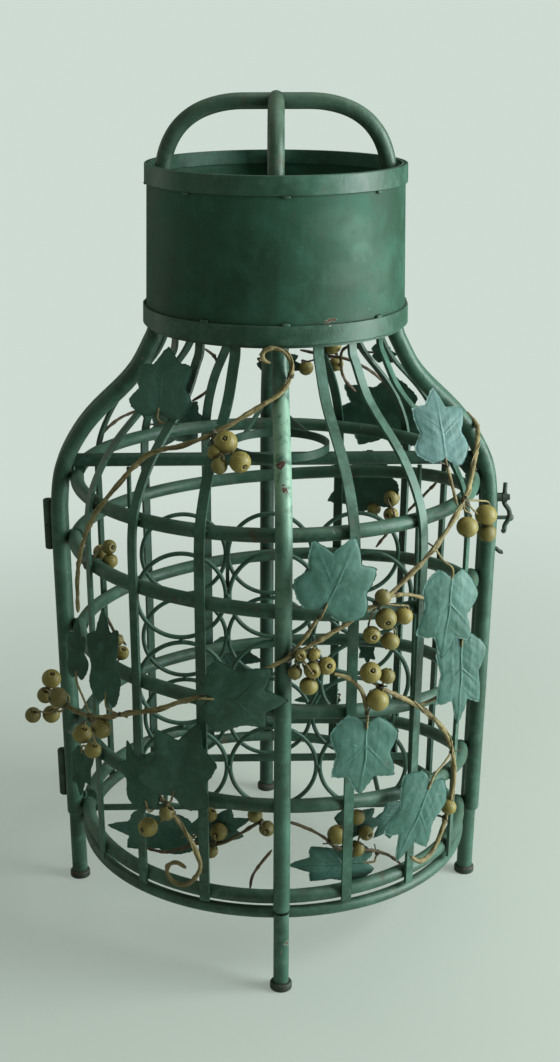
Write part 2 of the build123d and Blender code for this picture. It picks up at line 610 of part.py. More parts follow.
save("latch_pivot", latch_pivot())
save("latch_hook", latch_hook())
save("latch_keeper", latch_keeper())
save("door_stub", bent_wire(DOOR_STUB_PATH, DOOR_STUB_R))

# Leaves ---------------------------------------------------------------------------------
LEAF_T = 1.2
# Right half of the lobed outline, (fraction of width, fraction of length) from stem to tip
LEAF_HALF = [
    (0.0, 0.06), (0.13, -0.02), (0.30, 0.03), (0.46, 0.20), (0.37, 0.34), (0.50, 0.50),
    (0.42, 0.62), (0.26, 0.64), (0.20, 0.80), (0.08, 0.93), (0.0, 1.0),
]
# file: (surface normal, stem point, tip, width)
LEAVES = {
    "door_leaves_upper": [
        ((-0.406, -0.793, 0.454), (-115.7, -119.9, 566.8), (-107.9, -92, 622.6), 57.1),
        ((0.25, -0.788, 0.563), (158.4, -140.3, 519.3), (149.6, -95.1, 586.5), 57.5),
        ((0.211, -0.973, 0.089), (34.4, -240.7, 406.8), (67, -227.2, 477), 80.1),
        ((0.35, -0.922, 0.168), (160.8, -183.3, 421.7), (153.6, -198.6, 352.8), 53.1),
        ((0.345, -0.916, 0.206), (174.3, -174.2, 352.9), (171.7, -190.7, 283.7), 44.5),
        ((-0.155, -0.988, -0.016), (-74, -228.3, 319.9), (0.2, -240, 321.3), 67.1),
        ((-0.42, -0.889, 0.182), (-169, -179.1, 298), (-171.6, -161.1, 380), 42.3),
        ((-0.421, -0.876, 0.237), (-201.1, -136, 300.6), (-199.3, -120.9, 359.5), 25.7),
    ],
    "door_leaves_lower": [
        ((0.265, -0.963, 0.057), (80.3, -224.1, 298.9), (74.8, -230.5, 217.4), 70.3),
        ((0.324, -0.926, 0.195), (149, -183.9, 208.8), (116.5, -209.4, 141.6), 49.2),
        ((-0.348, -0.934, 0.077), (-112.6, -214.7, 211.5), (-89.6, -217.3, 283.2), 66.8),
        ((-0.391, -0.907, 0.159), (-128.7, -206.1, 191.1), (-150.4, -185.1, 258.2), 34.9),
        ((-0.424, -0.859, 0.287), (-199.4, -114.5, 218.5), (-201.9, -129.6, 169.7), 28.5),
        ((-0.352, -0.897, 0.267), (-90.3, -142.4, 127.3), (-171.6, -111.1, 125.2), 37),
        ((-0.246, -0.962, 0.115), (-83.8, -169.5, 144.4), (-35.9, -179.3, 164.7), 27.9),
        ((0.179, -0.974, 0.139), (90.1, -172.7, 114.5), (13.8, -186.1, 118.7), 40.1),
        ((0.243, -0.952, 0.187), (60.4, -169.7, 153.9), (101.6, -159.5, 152.3), 26.2),
        ((0.279, -0.928, 0.247), (126.2, -136.7, 158), (98.7, -151.8, 132.3), 28.6),
    ],
    "rear_leaves": [
        ((-0.388, 0.914, 0.118), (-135.6, 195.8, 475.4), (-64.4, 226.7, 470.6), 53.2),
        ((0.399, 0.899, 0.183), (168.8, 177.5, 494.5), (79.9, 220, 479.7), 76.1),
        ((0.464, 0.886, -0.006), (139.6, 194.4, 414), (79.6, 225.6, 375.7), 61.2),
        ((-0.168, 0.986, -0.021), (-72.8, 224.2, 180.7), (-5.2, 235.4, 164.7), 49.1),
        ((0.06, 0.949, 0.308), (-11.8, 190.9, 552.9), (45, 191.2, 540.9), 34),
        ((0.392, 0.892, 0.226), (109.4, 111, 576.1), (136.3, 99.1, 576.3), 23.8),
        ((0.269, 0.963, -0.019), (90.1, 215.8, 126.8), (34.4, 231.1, 112.5), 32.1),
        ((0.49, 0.87, -0.049), (119.2, 201.8, 203.6), (121.9, 198.5, 173.6), 24.2),
    ],
}


def leaf(normal, stem, tip, width):
    """Thin lobed plate facing along its normal; local Y runs from stem to tip."""
    stem = Vector(*stem)
    normal = Vector(*normal).normalized()
    axis = Vector(*tip) - stem
    axis = axis - normal * axis.dot(normal)
    right = [(x * width, y * axis.length) for x, y in LEAF_HALF]
    left = [(-x, y) for x, y in right[1:-1]]
    face = make_face(Polyline(*right, *left[::-1], close=True))
    plane = Plane(origin=stem, x_dir=axis.normalized().cross(normal), z_dir=normal)
    return plane * extrude(face, amount=LEAF_T / 2, both=True)


for name, rows in LEAVES.items():
    save(name, *[leaf(*row) for row in rows])

# Beads ----------------------------------------------------------------------------------
BEAD_BORE_R = 1.9
# file: (x, y, z, radius, direction of the hole)
BEADS = {
    "door_beads_upper": [
        (-52.1, -177, 553.8, 11, "out"), (-39.2, -194.3, 540, 10, "side"),
        (-58.2, -192.4, 535.8, 7.8, "up"), (-62, -180.1, 545.7, 6.9, "up"),
        (-177.1, -80.3, 415.3, 7.4, "up"), (-167.2, -97.2, 426.2, 7.4, "up"),
        (-166.6, -98.3, 411.9, 7.4, "out"),
        (177.8, -155.3, 463.1, 10.5, "up"), (200.4, -124.6, 465.1, 10.7, "up"),
        (202.5, -123.3, 446.3, 9.3, "up"),
        (95.4, -218.6, 394.9, 10.2, "out"), (113.1, -208.8, 393.8, 8.4, "up"),
        (82.1, -222.7, 380.6, 8.4, "out"), (100.1, -215.4, 371.3, 8.9, "up"),
        (92.1, -218.6, 416.4, 7.9, "up"),
        (10.5, -235.6, 348.8, 6.5, "up"), (26.8, -235.5, 351.3, 8.3, "out"),
        (40, -233.6, 354.6, 8.3, "side"), (23.2, -235.9, 335.4, 8.8, "up"),
        (28, -234.1, 366.7, 6, "up"), (15.4, -235.3, 366.3, 6, "out"),
        (81.7, -223.6, 342.9, 10.3, "out"), (98.2, -215.2, 335.8, 8, "up"),
        (89.2, -220.6, 313.7, 10.9, "up"),
        (-160.8, -114.4, 334.1, 6.5, "out"), (-155.8, -120.6, 322.7, 7, "up"),
    ],
    "door_beads_lower": [
        (-232.0, -72.9, 275.2, 9.8, "up"), (-223.9, -98.0, 265.6, 10.2, "out"),
        (-238.7, -74.7, 257.7, 8.7, "up"), (-233.5, -73.3, 235.5, 9.3, "up"),
        (-252.0, -78.4, 237.0, 8.3, "up"),
        (-197.2, -129.8, 239.2, 10, "up"), (-175.7, -158.1, 257.9, 9.8, "out"),
        (-186.3, -143, 227.6, 8.5, "up"),
        (-130.5, -194.7, 168.7, 9.8, "out"), (-111.4, -205.3, 189.8, 7.8, "up"),
        (-61, -183.2, 156, 8.9, "out"), (-69.8, -180.9, 173.8, 7.4, "up"),
        (-68.9, -180.5, 133.4, 7, "up"),
        (-25.3, -192.4, 179.3, 7.4, "up"), (-13.7, -193.1, 164.7, 7.9, "out"),
        (56.3, -184.3, 151.8, 9.9, "up"), (76.5, -177.9, 168.1, 8, "up"),
        (86.2, -173.1, 147.5, 7.5, "out"), (77.3, -176.9, 131.7, 7.5, "up"),
        (170.2, -159.7, 168.4, 8.1, "up"),
    ],
    "rear_beads": [
        (124.9, 200.9, 369.4, 8.2, "up"), (144, 188.7, 386.5, 9.3, "out"),
        (143.5, 188.5, 366.4, 8.8, "out"),
        (69.3, 145.4, 575.7, 9.9, "up"), (75.2, 170.8, 549.9, 8.4, "up"),
        (42.7, 191.1, 541, 8.5, "up"),
    ],
}


def bead(x, y, z, radius, hole):
    """Drilled ball; the hole points out from the cage axis, to one side or steeply up."""
    out = Vector(x, y, 0).normalized()
    around = Z_AXIS.cross(out)
    direction = {
        "out": out,
        "side": (around + out * 0.5 - Z_AXIS * 0.4).normalized(),
        "up": (Z_AXIS + around * 0.6).normalized(),
    }[hole]
    ball = Sphere(radius) - Cylinder(BEAD_BORE_R, 3 * radius)
    return Plane(origin=Vector(x, y, z), z_dir=direction) * ball


for name, rows in BEADS.items():
    save(name, *[bead(*row) for row in rows])

# Vine -----------------------------------------------------------------------------------
# file: (wire radius, points along the wire)
VINES = {
    "vine_main_left": [
        (2.1, [(-9.9, -137.6, 619.3), (-16.4, -138, 622.8), (-16.4, -138, 629.5),
               (-8, -138.2, 633.6), (3.2, -138.2, 629.6), (9.7, -138, 619.2),
               (8.6, -139.9, 605.1), (0.9, -147.3, 594.2), (-29.1, -154.4, 576.9),
               (-58.1, -162.8, 560.6), (-88.8, -163, 548.9), (-122.2, -155, 537.3),
               (-146.6, -154.7, 515.9), (-167.1, -153, 490), (-182.7, -143.4, 463.2),
               (-191.1, -136.2, 438.6), (-196.6, -128.6, 407.3), (-197.6, -126.7, 369)]),
    ],
    "vine_right": [
        (2.1, [(196.9, -4.7, 537.7), (205, -14.9, 527.6), (196.5, -75.8, 520),
               (180.3, -134.5, 493.6), (164.7, -161.6, 474.2), (133.4, -192.5, 444.1),
               (99.7, -212.8, 417.7), (76.3, -222.2, 404.1), (52, -229, 390.2),
               (27, -233.2, 376.3), (0.6, -234.6, 361.2), (-27.4, -232.8, 345.7)]),
    ],
    "vine_right_stems": [
        (1.8, [(2.1, -234.6, 362.2), (17.7, -234.1, 380.7), (32.2, -232.7, 402.7)]),
        (1.8, [(95.3, -214.8, 415), (109, -208.1, 414.9), (123.2, -200.1, 410.7),
               (141, -187.9, 400.5)]),
        (1.6, [(158.5, -139.6, 519.1), (162.6, -148.4, 502.9), (167, -155.8, 485.2)]),
    ],
    "vine_centre": [
        (2.1, [(47.1, -229.6, 344.6), (58.6, -226.9, 340.2), (68.3, -224, 331.8),
               (75.4, -221.6, 320.4), (79.7, -219.7, 301.1)]),
    ],
    "vine_lower_right": [
        (2.3, [(91.9, -215.3, 323.6), (108.2, -207.4, 312.8), (125, -197.5, 299.9),
               (142.5, -184.9, 283.5), (161.3, -167.9, 256.2), (173.3, -154.5, 223.4),
               (175.6, -150.9, 191.7), (169.3, -156.9, 161.4), (162.1, -163.7, 139.2),
               (152.4, -172.4, 123.7), (140.2, -182.3, 120.4), (130, -190, 129.4)]),
        (1.7, [(132.4, -192.5, 295.4), (146.3, -182.2, 295.9), (161.7, -168.7, 297.2)]),
    ],
    "vine_left": [
        (2.3, [(-77.8, -220.7, 318.9), (-96.8, -212.9, 310.2), (-118.1, -201.6, 298.3),
               (-150.1, -178.7, 282.8), (-181.8, -145.9, 264.9), (-199.7, -119.7, 257.5),
               (-217, -84.2, 250.5)]),
    ],
    "vine_lower_left": [
        (2.1, [(-127.7, -194.7, 210.1), (-115, -202.3, 201.9), (-105.4, -207.1, 188.1),
               (-92.9, -212.6, 171.4), (-83.4, -216.2, 154.7), (-79.2, -217.4, 137.7),
               (-86.7, -214.1, 120.5), (-99.6, -208.2, 112), (-110.5, -202.8, 117.6),
               (-111.3, -202.6, 129.7), (-102.3, -207.5, 136.3), (-93.4, -211.5, 132.4)]),
    ],
    "vine_inner": [
        (1.6, [(-135.5, -140.1, 115.2), (-115.6, -157.1, 119.8), (-98, -168.8, 129.5),
               (-80.8, -177.9, 141.1), (-57.9, -186.7, 145.7), (-37.2, -192.3, 160.7),
               (-18.5, -195.3, 175.2)]),
        (1.6, [(5, -196, 174.3), (22.8, -194.6, 166.7), (40.9, -191.4, 154.7),
               (55.3, -187.4, 140.1), (71.8, -181.6, 133.3), (90.8, -172.8, 128.1),
               (110.5, -160.6, 115.4), (124.3, -149.8, 99.9)]),
        (1.5, [(-8.6, -195.2, 142), (-18.4, -194.3, 128.2), (-27.3, -192.9, 113),
               (-30.3, -192.2, 98)]),
    ],
    "vine_rear_neck": [
        (1.7, [(-71.5, 140.3, 574.3), (-61.6, 156.8, 562.8), (-57.2, 179.5, 544.2),
               (-61.8, 196.5, 524.1), (-72.2, 201.8, 510.1), (-87.2, 201.1, 500.9)]),
        (1.7, [(139.4, 154.2, 521.2), (113.7, 148.6, 545.5), (88.8, 147.4, 559.4),
               (61.7, 156.2, 563.4), (34, 159.2, 568.5)]),
        (1.7, [(89.5, 120.3, 583.1), (80, 137, 573), (80.1, 161.7, 551.8),
               (86.7, 183.5, 528.5), (99.8, 187.6, 513.5)]),
    ],
    "vine_rear": [
        (1.7, [(188.8, 136.5, 421.1), (177.6, 150.7, 402.7), (163.9, 165.3, 381.5),
               (150.7, 177.2, 363.3), (137.2, 187.5, 340.4), (127.7, 193.9, 324.7)]),
        (1.7, [(-193.3, 127, 276.4), (-186.3, 136.4, 257.9), (-178.2, 146.2, 236.5),
               (-167.5, 157.7, 217.9)]),
        (1.7, [(-188.6, 127.6, 479.8), (-175.7, 139.7, 490.3), (-162.7, 150.1, 496.7),
               (-145.4, 164.8, 499.8)]),
    ],
}
for name, wires in VINES.items():
    save(name, *[bent_wire(points, radius) for radius, points in wires])
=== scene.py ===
"""Round wire cage on feet, with a sheet collar, handles, and a vine of pressed leaves and beads.

The cage stands on z = 0 about the Z axis. The door half faces the camera, towards -Y; the fixed
half ("frame") is the rear, towards +Y. Azimuths are in degrees: 0 is -Y, 90 is +X, 180 is +Y.
Shapes are worked out in mm and turned into metres as vertices are made.
"""
import math
import random
from fnmatch import fnmatchcase
from itertools import count

import bpy
import numpy as np
from mathutils import Matrix, Vector, noise

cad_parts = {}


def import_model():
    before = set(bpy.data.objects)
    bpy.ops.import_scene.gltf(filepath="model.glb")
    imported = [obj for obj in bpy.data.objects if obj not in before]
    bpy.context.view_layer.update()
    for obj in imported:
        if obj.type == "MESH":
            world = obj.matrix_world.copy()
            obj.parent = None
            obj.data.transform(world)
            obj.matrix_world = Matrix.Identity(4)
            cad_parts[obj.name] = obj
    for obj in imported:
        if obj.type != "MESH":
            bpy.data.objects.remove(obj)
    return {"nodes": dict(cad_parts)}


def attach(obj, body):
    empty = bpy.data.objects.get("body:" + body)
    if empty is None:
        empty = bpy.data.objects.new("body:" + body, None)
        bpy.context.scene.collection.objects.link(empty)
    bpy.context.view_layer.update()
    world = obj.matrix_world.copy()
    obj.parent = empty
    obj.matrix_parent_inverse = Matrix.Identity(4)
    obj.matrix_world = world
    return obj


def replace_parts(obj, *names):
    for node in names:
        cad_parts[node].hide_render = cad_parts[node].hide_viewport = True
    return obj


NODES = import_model()["nodes"]
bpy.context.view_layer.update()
MM = 0.001
UP = np.array((0.0, 0.0, 1.0))

# ---------------------------------------------------------------- cage sizes, mm
WAIST_Z = 430.0
# outer cage profile: (radius, height), straight to the waist, then in over the shoulder
BODY_PROFILE = [
    (217.0, 0.0), (224.0, WAIST_Z),
    (222.9, 452.0), (218.2, 482.0), (207.5, 506.5), (192.8, 529.0), (176.0, 547.5),
    (154.5, 568.0), (137.5, 589.0), (125.0, 613.0), (119.5, 640.0)]
STILE_R, HOOP_R, STRAP_T = 8.5, 7.0, 3.0
BASE_RING_R, BASE_TUBE_R = 203.2, 6.0
POST_STANDOFF = 7.6             # outside of the post beyond the cage profile
POST_AZIMUTH = {"door": 0, "frame": 180}
# hoops as (azimuth, height): the top one is level, the others are one spiral cut at the stiles
HOOPS = {
    "door": [
        [(-87.65, 473.2), (0.0, 472.2), (87.65, 471.0)],
        [(-87.65, 408.0), (-64.0, 409.0), (-48.0, 407.4), (-25.0, 404.6), (-11.0, 401.2),
         (2.0, 397.6), (20.0, 391.6), (36.5, 385.6), (60.0, 375.6), (87.65, 362.0)],
        [(-87.65, 311.0), (-60.0, 310.2), (-34.0, 307.2), (-14.0, 301.8), (5.0, 296.0),
         (20.0, 290.8), (34.0, 285.2), (46.5, 280.6), (66.0, 273.0), (87.65, 264.0)],
        [(-87.65, 206.0), (-57.0, 204.4), (-20.0, 197.6), (5.0, 195.0), (22.0, 192.4),
         (36.0, 188.4), (54.0, 182.2), (66.0, 176.6), (87.65, 163.5)],
        [(-87.65, 99.6), (-30.0, 95.4), (0.0, 94.6), (35.0, 97.2), (87.65, 97.4)],
    ],
    "frame": [
        [(92.35, 474.4), (180.0, 473.0), (267.65, 476.0)],
        [(92.35, 450.6), (114.0, 441.0), (126.5, 434.4), (150.0, 421.6), (173.0, 411.6),
         (189.0, 407.6), (205.0, 405.2), (234.0, 403.8), (267.65, 404.8)],
        [(92.35, 350.0), (101.0, 345.4), (115.0, 338.6), (133.6, 329.4), (145.0, 323.2),
         (160.0, 317.4), (180.0, 311.2), (200.0, 306.4), (218.0, 303.2), (240.0, 301.2),
         (267.65, 301.6)],
        [(92.35, 239.6), (112.0, 232.0), (123.0, 228.0), (132.0, 223.6), (150.0, 213.8),
         (172.0, 203.6), (190.0, 198.4), (210.0, 195.2), (240.0, 194.2), (267.65, 195.2)],
        [(92.35, 152.6), (100.0, 146.4), (109.0, 139.4), (121.0, 131.6), (130.5, 126.0),
         (145.0, 116.0), (158.0, 107.6), (172.0, 102.0), (190.0, 99.8), (267.65, 99.6)],
    ],
}
BASE_RING = [(-180.0, 77.5), (0.0, 77.5), (360.0, 77.5)]
# straps as (azimuth up to the waist, azimuth 200 mm above it)
STRAPS = {
    "door": [(-20.9, -20.3), (-40.6, -38.4), (-59.4, -55.0), (17.9, 17.4), (38.4, 34.8),
             (58.3, 54.0)],
    "frame": [(-160.7, -162.0), (-139.5, -143.0), (-119.0, -124.0), (157.6, 159.5),
              (134.5, 140.0), (118.0, 123.0)],
}

# ---------------------------------------------------------------- leaf, bead and vine places, mm
# leaf: name, centre, surface normal,
#       stem point, tip, width, growth about the centre, V fold, outline, paint (dark is painted
#       shade, pale is a painted highlight)
LEAVES = {
    "door": [
        ("shoulder left", (-111.8, -106, 594.6), (-0.406, -0.793, 0.454),
         (-115.7, -119.9, 566.8), (-107.9, -92, 622.6), 57.1, 1.16, 0.05, "broad", "fresh"),
        # the pale paint of this leaf is a painted highlight
        ("shoulder right", (154, -117.8, 552.7), (0.25, -0.788, 0.563),
         (158.4, -140.3, 519.3), (149.6, -95.1, 586.5), 57.5, 1, 0, "broad", "pale"),
        ("centre large", (50.8, -233.9, 442), (0.211, -0.973, 0.089),
         (34.4, -240.7, 406.8), (67, -227.2, 477), 80.1, 1, 0, "broad", "fresh"),
        ("side right a", (157.2, -190.9, 387.3), (0.35, -0.922, 0.168),
         (160.8, -183.3, 421.7), (153.6, -198.6, 352.8), 53.1, 1.24, 0, "lobed", "fresh"),
        ("side right b", (173, -182.5, 318.4), (0.345, -0.916, 0.206),
         (174.3, -174.2, 352.9), (171.7, -190.7, 283.7), 44.5, 1.28, 0, "lobed", "fresh"),
        ("lower right", (77.6, -227.3, 258.4), (0.265, -0.963, 0.057),
         (80.3, -224.1, 298.9), (74.8, -230.5, 217.4), 70.3, 1, 0, "lobed", "fresh"),
        ("base right", (132.8, -196.7, 175.2), (0.324, -0.926, 0.195),
         (149, -183.9, 208.8), (116.5, -209.4, 141.6), 49.2, 1.18, 0, "lobed", "fresh"),
        ("centre left", (-36.8, -234.2, 320.6), (-0.155, -0.988, -0.016),
         (-74, -228.3, 319.9), (0.2, -240, 321.3), 67.1, 1.12, 0, "lobed", "dark"),
        ("folded", (-94, -219, 249.7), (-0.348, -0.934, 0.077),
         (-105.6, -217.7, 213.5), (-82.6, -220.3, 285.2), 66.8, 1.14, 0.30, "broad", "dark"),
        ("left", (-170.3, -170.1, 339.1), (-0.42, -0.889, 0.182),
         (-169, -180.5, 291), (-171.6, -159.7, 386), 35.5, 1, 0.10, "broad", "dark"),
        ("edge left", (-200.2, -128.4, 330.1), (-0.421, -0.876, 0.237),
         (-201.1, -136, 300.6), (-199.3, -120.9, 359.5), 25.7, 1, 0, "broad", "dark"),
        ("low left", (-139.5, -195.6, 224.7), (-0.391, -0.907, 0.159),
         (-128.7, -206.1, 191.1), (-150.4, -185.1, 258.2), 34.9, 1, 0.12, "lobed", "dark"),
        ("hinge left", (-200.6, -122.1, 194.1), (-0.424, -0.859, 0.287),
         (-199.4, -114.5, 218.5), (-201.9, -129.6, 169.7), 28.5, 1, 0, "lobed", "dark"),
        ("inner left a", (-130.6, -126.9, 126.3), (-0.352, -0.897, 0.267),
         (-90.3, -142.4, 127.3), (-171.6, -111.1, 125.2), 37, 1.15, 0, "broad", "fresh"),
        ("inner left b", (-59.8, -174.4, 154.6), (-0.246, -0.962, 0.115),
         (-83.8, -169.5, 144.4), (-35.9, -179.3, 164.7), 27.9, 1.25, 0, "lobed", "fresh"),
        ("inner right a", (51.8, -179.4, 116.6), (0.179, -0.974, 0.139),
         (90.1, -172.7, 114.5), (13.8, -186.1, 118.7), 40.1, 1.15, 0, "lobed", "fresh"),
        ("inner right b", (80.9, -164.6, 153.1), (0.243, -0.952, 0.187),
         (60.4, -169.7, 153.9), (101.6, -159.5, 152.3), 26.2, 1.25, 0, "broad", "fresh"),
        ("inner right c", (112.4, -144.3, 145.2), (0.279, -0.928, 0.247),
         (126.2, -136.7, 158), (98.7, -151.8, 132.3), 28.6, 1.15, 0, "lobed", "fresh"),
    ],
    "frame": [
        ("shoulder left", (-100.3, 211.1, 473), (-0.388, 0.914, 0.118),
         (-135.6, 195.8, 475.4), (-64.4, 226.7, 470.6), 53.2, 1, 0, "broad", "dark"),
        ("shoulder right", (124.9, 198.5, 487.2), (0.399, 0.899, 0.183),
         (168.8, 177.5, 494.5), (79.9, 220, 479.7), 76.1, 1.18, 0, "lobed", "dark"),
        ("upper right", (109.9, 209.9, 395), (0.464, 0.886, -0.006),
         (139.6, 194.4, 414), (79.6, 225.6, 375.7), 61.2, 1.2, 0, "broad", "dark"),
        ("centre", (-39.1, 229.8, 172.7), (-0.168, 0.986, -0.021),
         (-72.8, 224.2, 180.7), (-5.2, 235.4, 164.7), 49.1, 1, 0, "lobed", "dark"),
        ("neck", (16.6, 191.1, 546.9), (0.06, 0.949, 0.308),
         (-11.8, 190.9, 552.9), (45, 191.2, 540.9), 34, 1, 0, "lobed", "dark"),
        ("neck right", (122.9, 105.1, 576.2), (0.392, 0.892, 0.226),
         (109.4, 111, 576.1), (136.3, 99.1, 576.3), 23.8, 1, 0, "lobed", "dark"),
        ("low right", (62.4, 223.5, 119.7), (0.269, 0.963, -0.019),
         (90.1, 215.8, 126.8), (34.4, 231.1, 112.5), 32.1, 1, 0, "lobed", "dark"),
        ("mid right", (120.6, 200.2, 188.6), (0.49, 0.87, -0.049),
         (119.2, 201.8, 203.6), (121.9, 198.5, 173.6), 24.2, 1, 0, "lobed", "dark"),
    ],
}
# beads by cluster: x, y, z, radius, hole facing
HIDDEN, OUTWARD, SIDEWAYS = 0, 1, 2
BEADS = {
    "A": [(-52.1, -177, 553.8, 11, 1), (-39.2, -194.3, 540, 10, 2), (-58.2, -192.4, 535.8, 7.8, 0),
          (-62, -180.1, 545.7, 6.9, 0)],
    "B": [(-177.1, -80.3, 415.3, 7.4, 0), (-167.2, -97.2, 426.2, 7.4, 0),
          (-166.6, -98.3, 411.9, 7.4, 1)],
    "C": [(177.8, -155.3, 463.1, 10.5, 0), (200.4, -124.6, 465.1, 10.7, 0),
          (202.5, -123.3, 446.3, 9.3, 0)],
    "D": [(95.4, -218.6, 394.9, 10.2, 1), (113.1, -208.8, 393.8, 8.4, 0),
          (82.1, -222.7, 380.6, 8.4, 1), (100.1, -215.4, 371.3, 8.9, 0),
          (92.1, -218.6, 416.4, 7.9, 0)],
    "E": [(10.5, -235.6, 348.8, 6.5, 0), (26.8, -235.5, 351.3, 8.3, 1),
          (40, -233.6, 354.6, 8.3, 2), (23.2, -235.9, 335.4, 8.8, 0), (28, -234.1, 366.7, 6, 0),
          (15.4, -235.3, 366.3, 6, 1)],
    "F": [(81.7, -223.6, 342.9, 10.3, 1), (98.2, -215.2, 335.8, 8, 0),
          (89.2, -220.6, 313.7, 10.9, 0)],
    "G": [(-232.0, -72.9, 275.2, 9.8, 0), (-223.9, -98.0, 265.6, 10.2, 1),
          (-238.7, -74.7, 257.7, 8.7, 0), (-233.5, -73.3, 235.5, 9.3, 0),
          (-252.0, -78.4, 237.0, 8.3, 0)],
    "H": [(-197.2, -129.8, 239.2, 10, 0), (-175.7, -158.1, 257.9, 9.8, 1),
          (-186.3, -143, 227.6, 8.5, 0)],
    "I": [(-130.5, -194.7, 168.7, 9.8, 1), (-111.4, -205.3, 189.8, 7.8, 0)],
    "J": [(-61, -183.2, 156, 8.9, 1), (-69.8, -180.9, 173.8, 7.4, 0), (-68.9, -180.5, 133.4, 7, 0)],
    "K": [(-25.3, -192.4, 179.3, 7.4, 0), (-13.7, -193.1, 164.7, 7.9, 1)],
    "L": [(56.3, -184.3, 151.8, 9.9, 0), (76.5, -177.9, 168.1, 8, 0),
          (86.2, -173.1, 147.5, 7.5, 1), (77.3, -176.9, 131.7, 7.5, 0)],
    "M": [(170.2, -159.7, 168.4, 8.1, 0)],
    "N": [(124.9, 200.9, 369.4, 8.2, 0), (144, 188.7, 386.5, 9.3, 1),
          (143.5, 188.5, 366.4, 8.8, 1)],
    "O": [(69.3, 145.4, 575.7, 9.9, 0), (75.2, 170.8, 549.9, 8.4, 0), (42.7, 191.1, 541, 8.5, 0)],
    "P": [(-160.8, -114.4, 334.1, 6.5, 1), (-155.8, -120.6, 322.7, 7, 0)],
}
REAR_CLUSTERS = "NO"
# hole directions of single beads, by cluster letter and place in the cluster
BEAD_AXIS = {"A0": (-0.12, -0.78, 0.62), "A1": (0.45, -0.82, -0.34), "B1": (0.62, -0.76, 0.15),
             "D0": (0.10, -0.98, -0.15), "E2": (0.25, -0.90, 0.30), "F0": (0.15, -0.80, 0.58)}
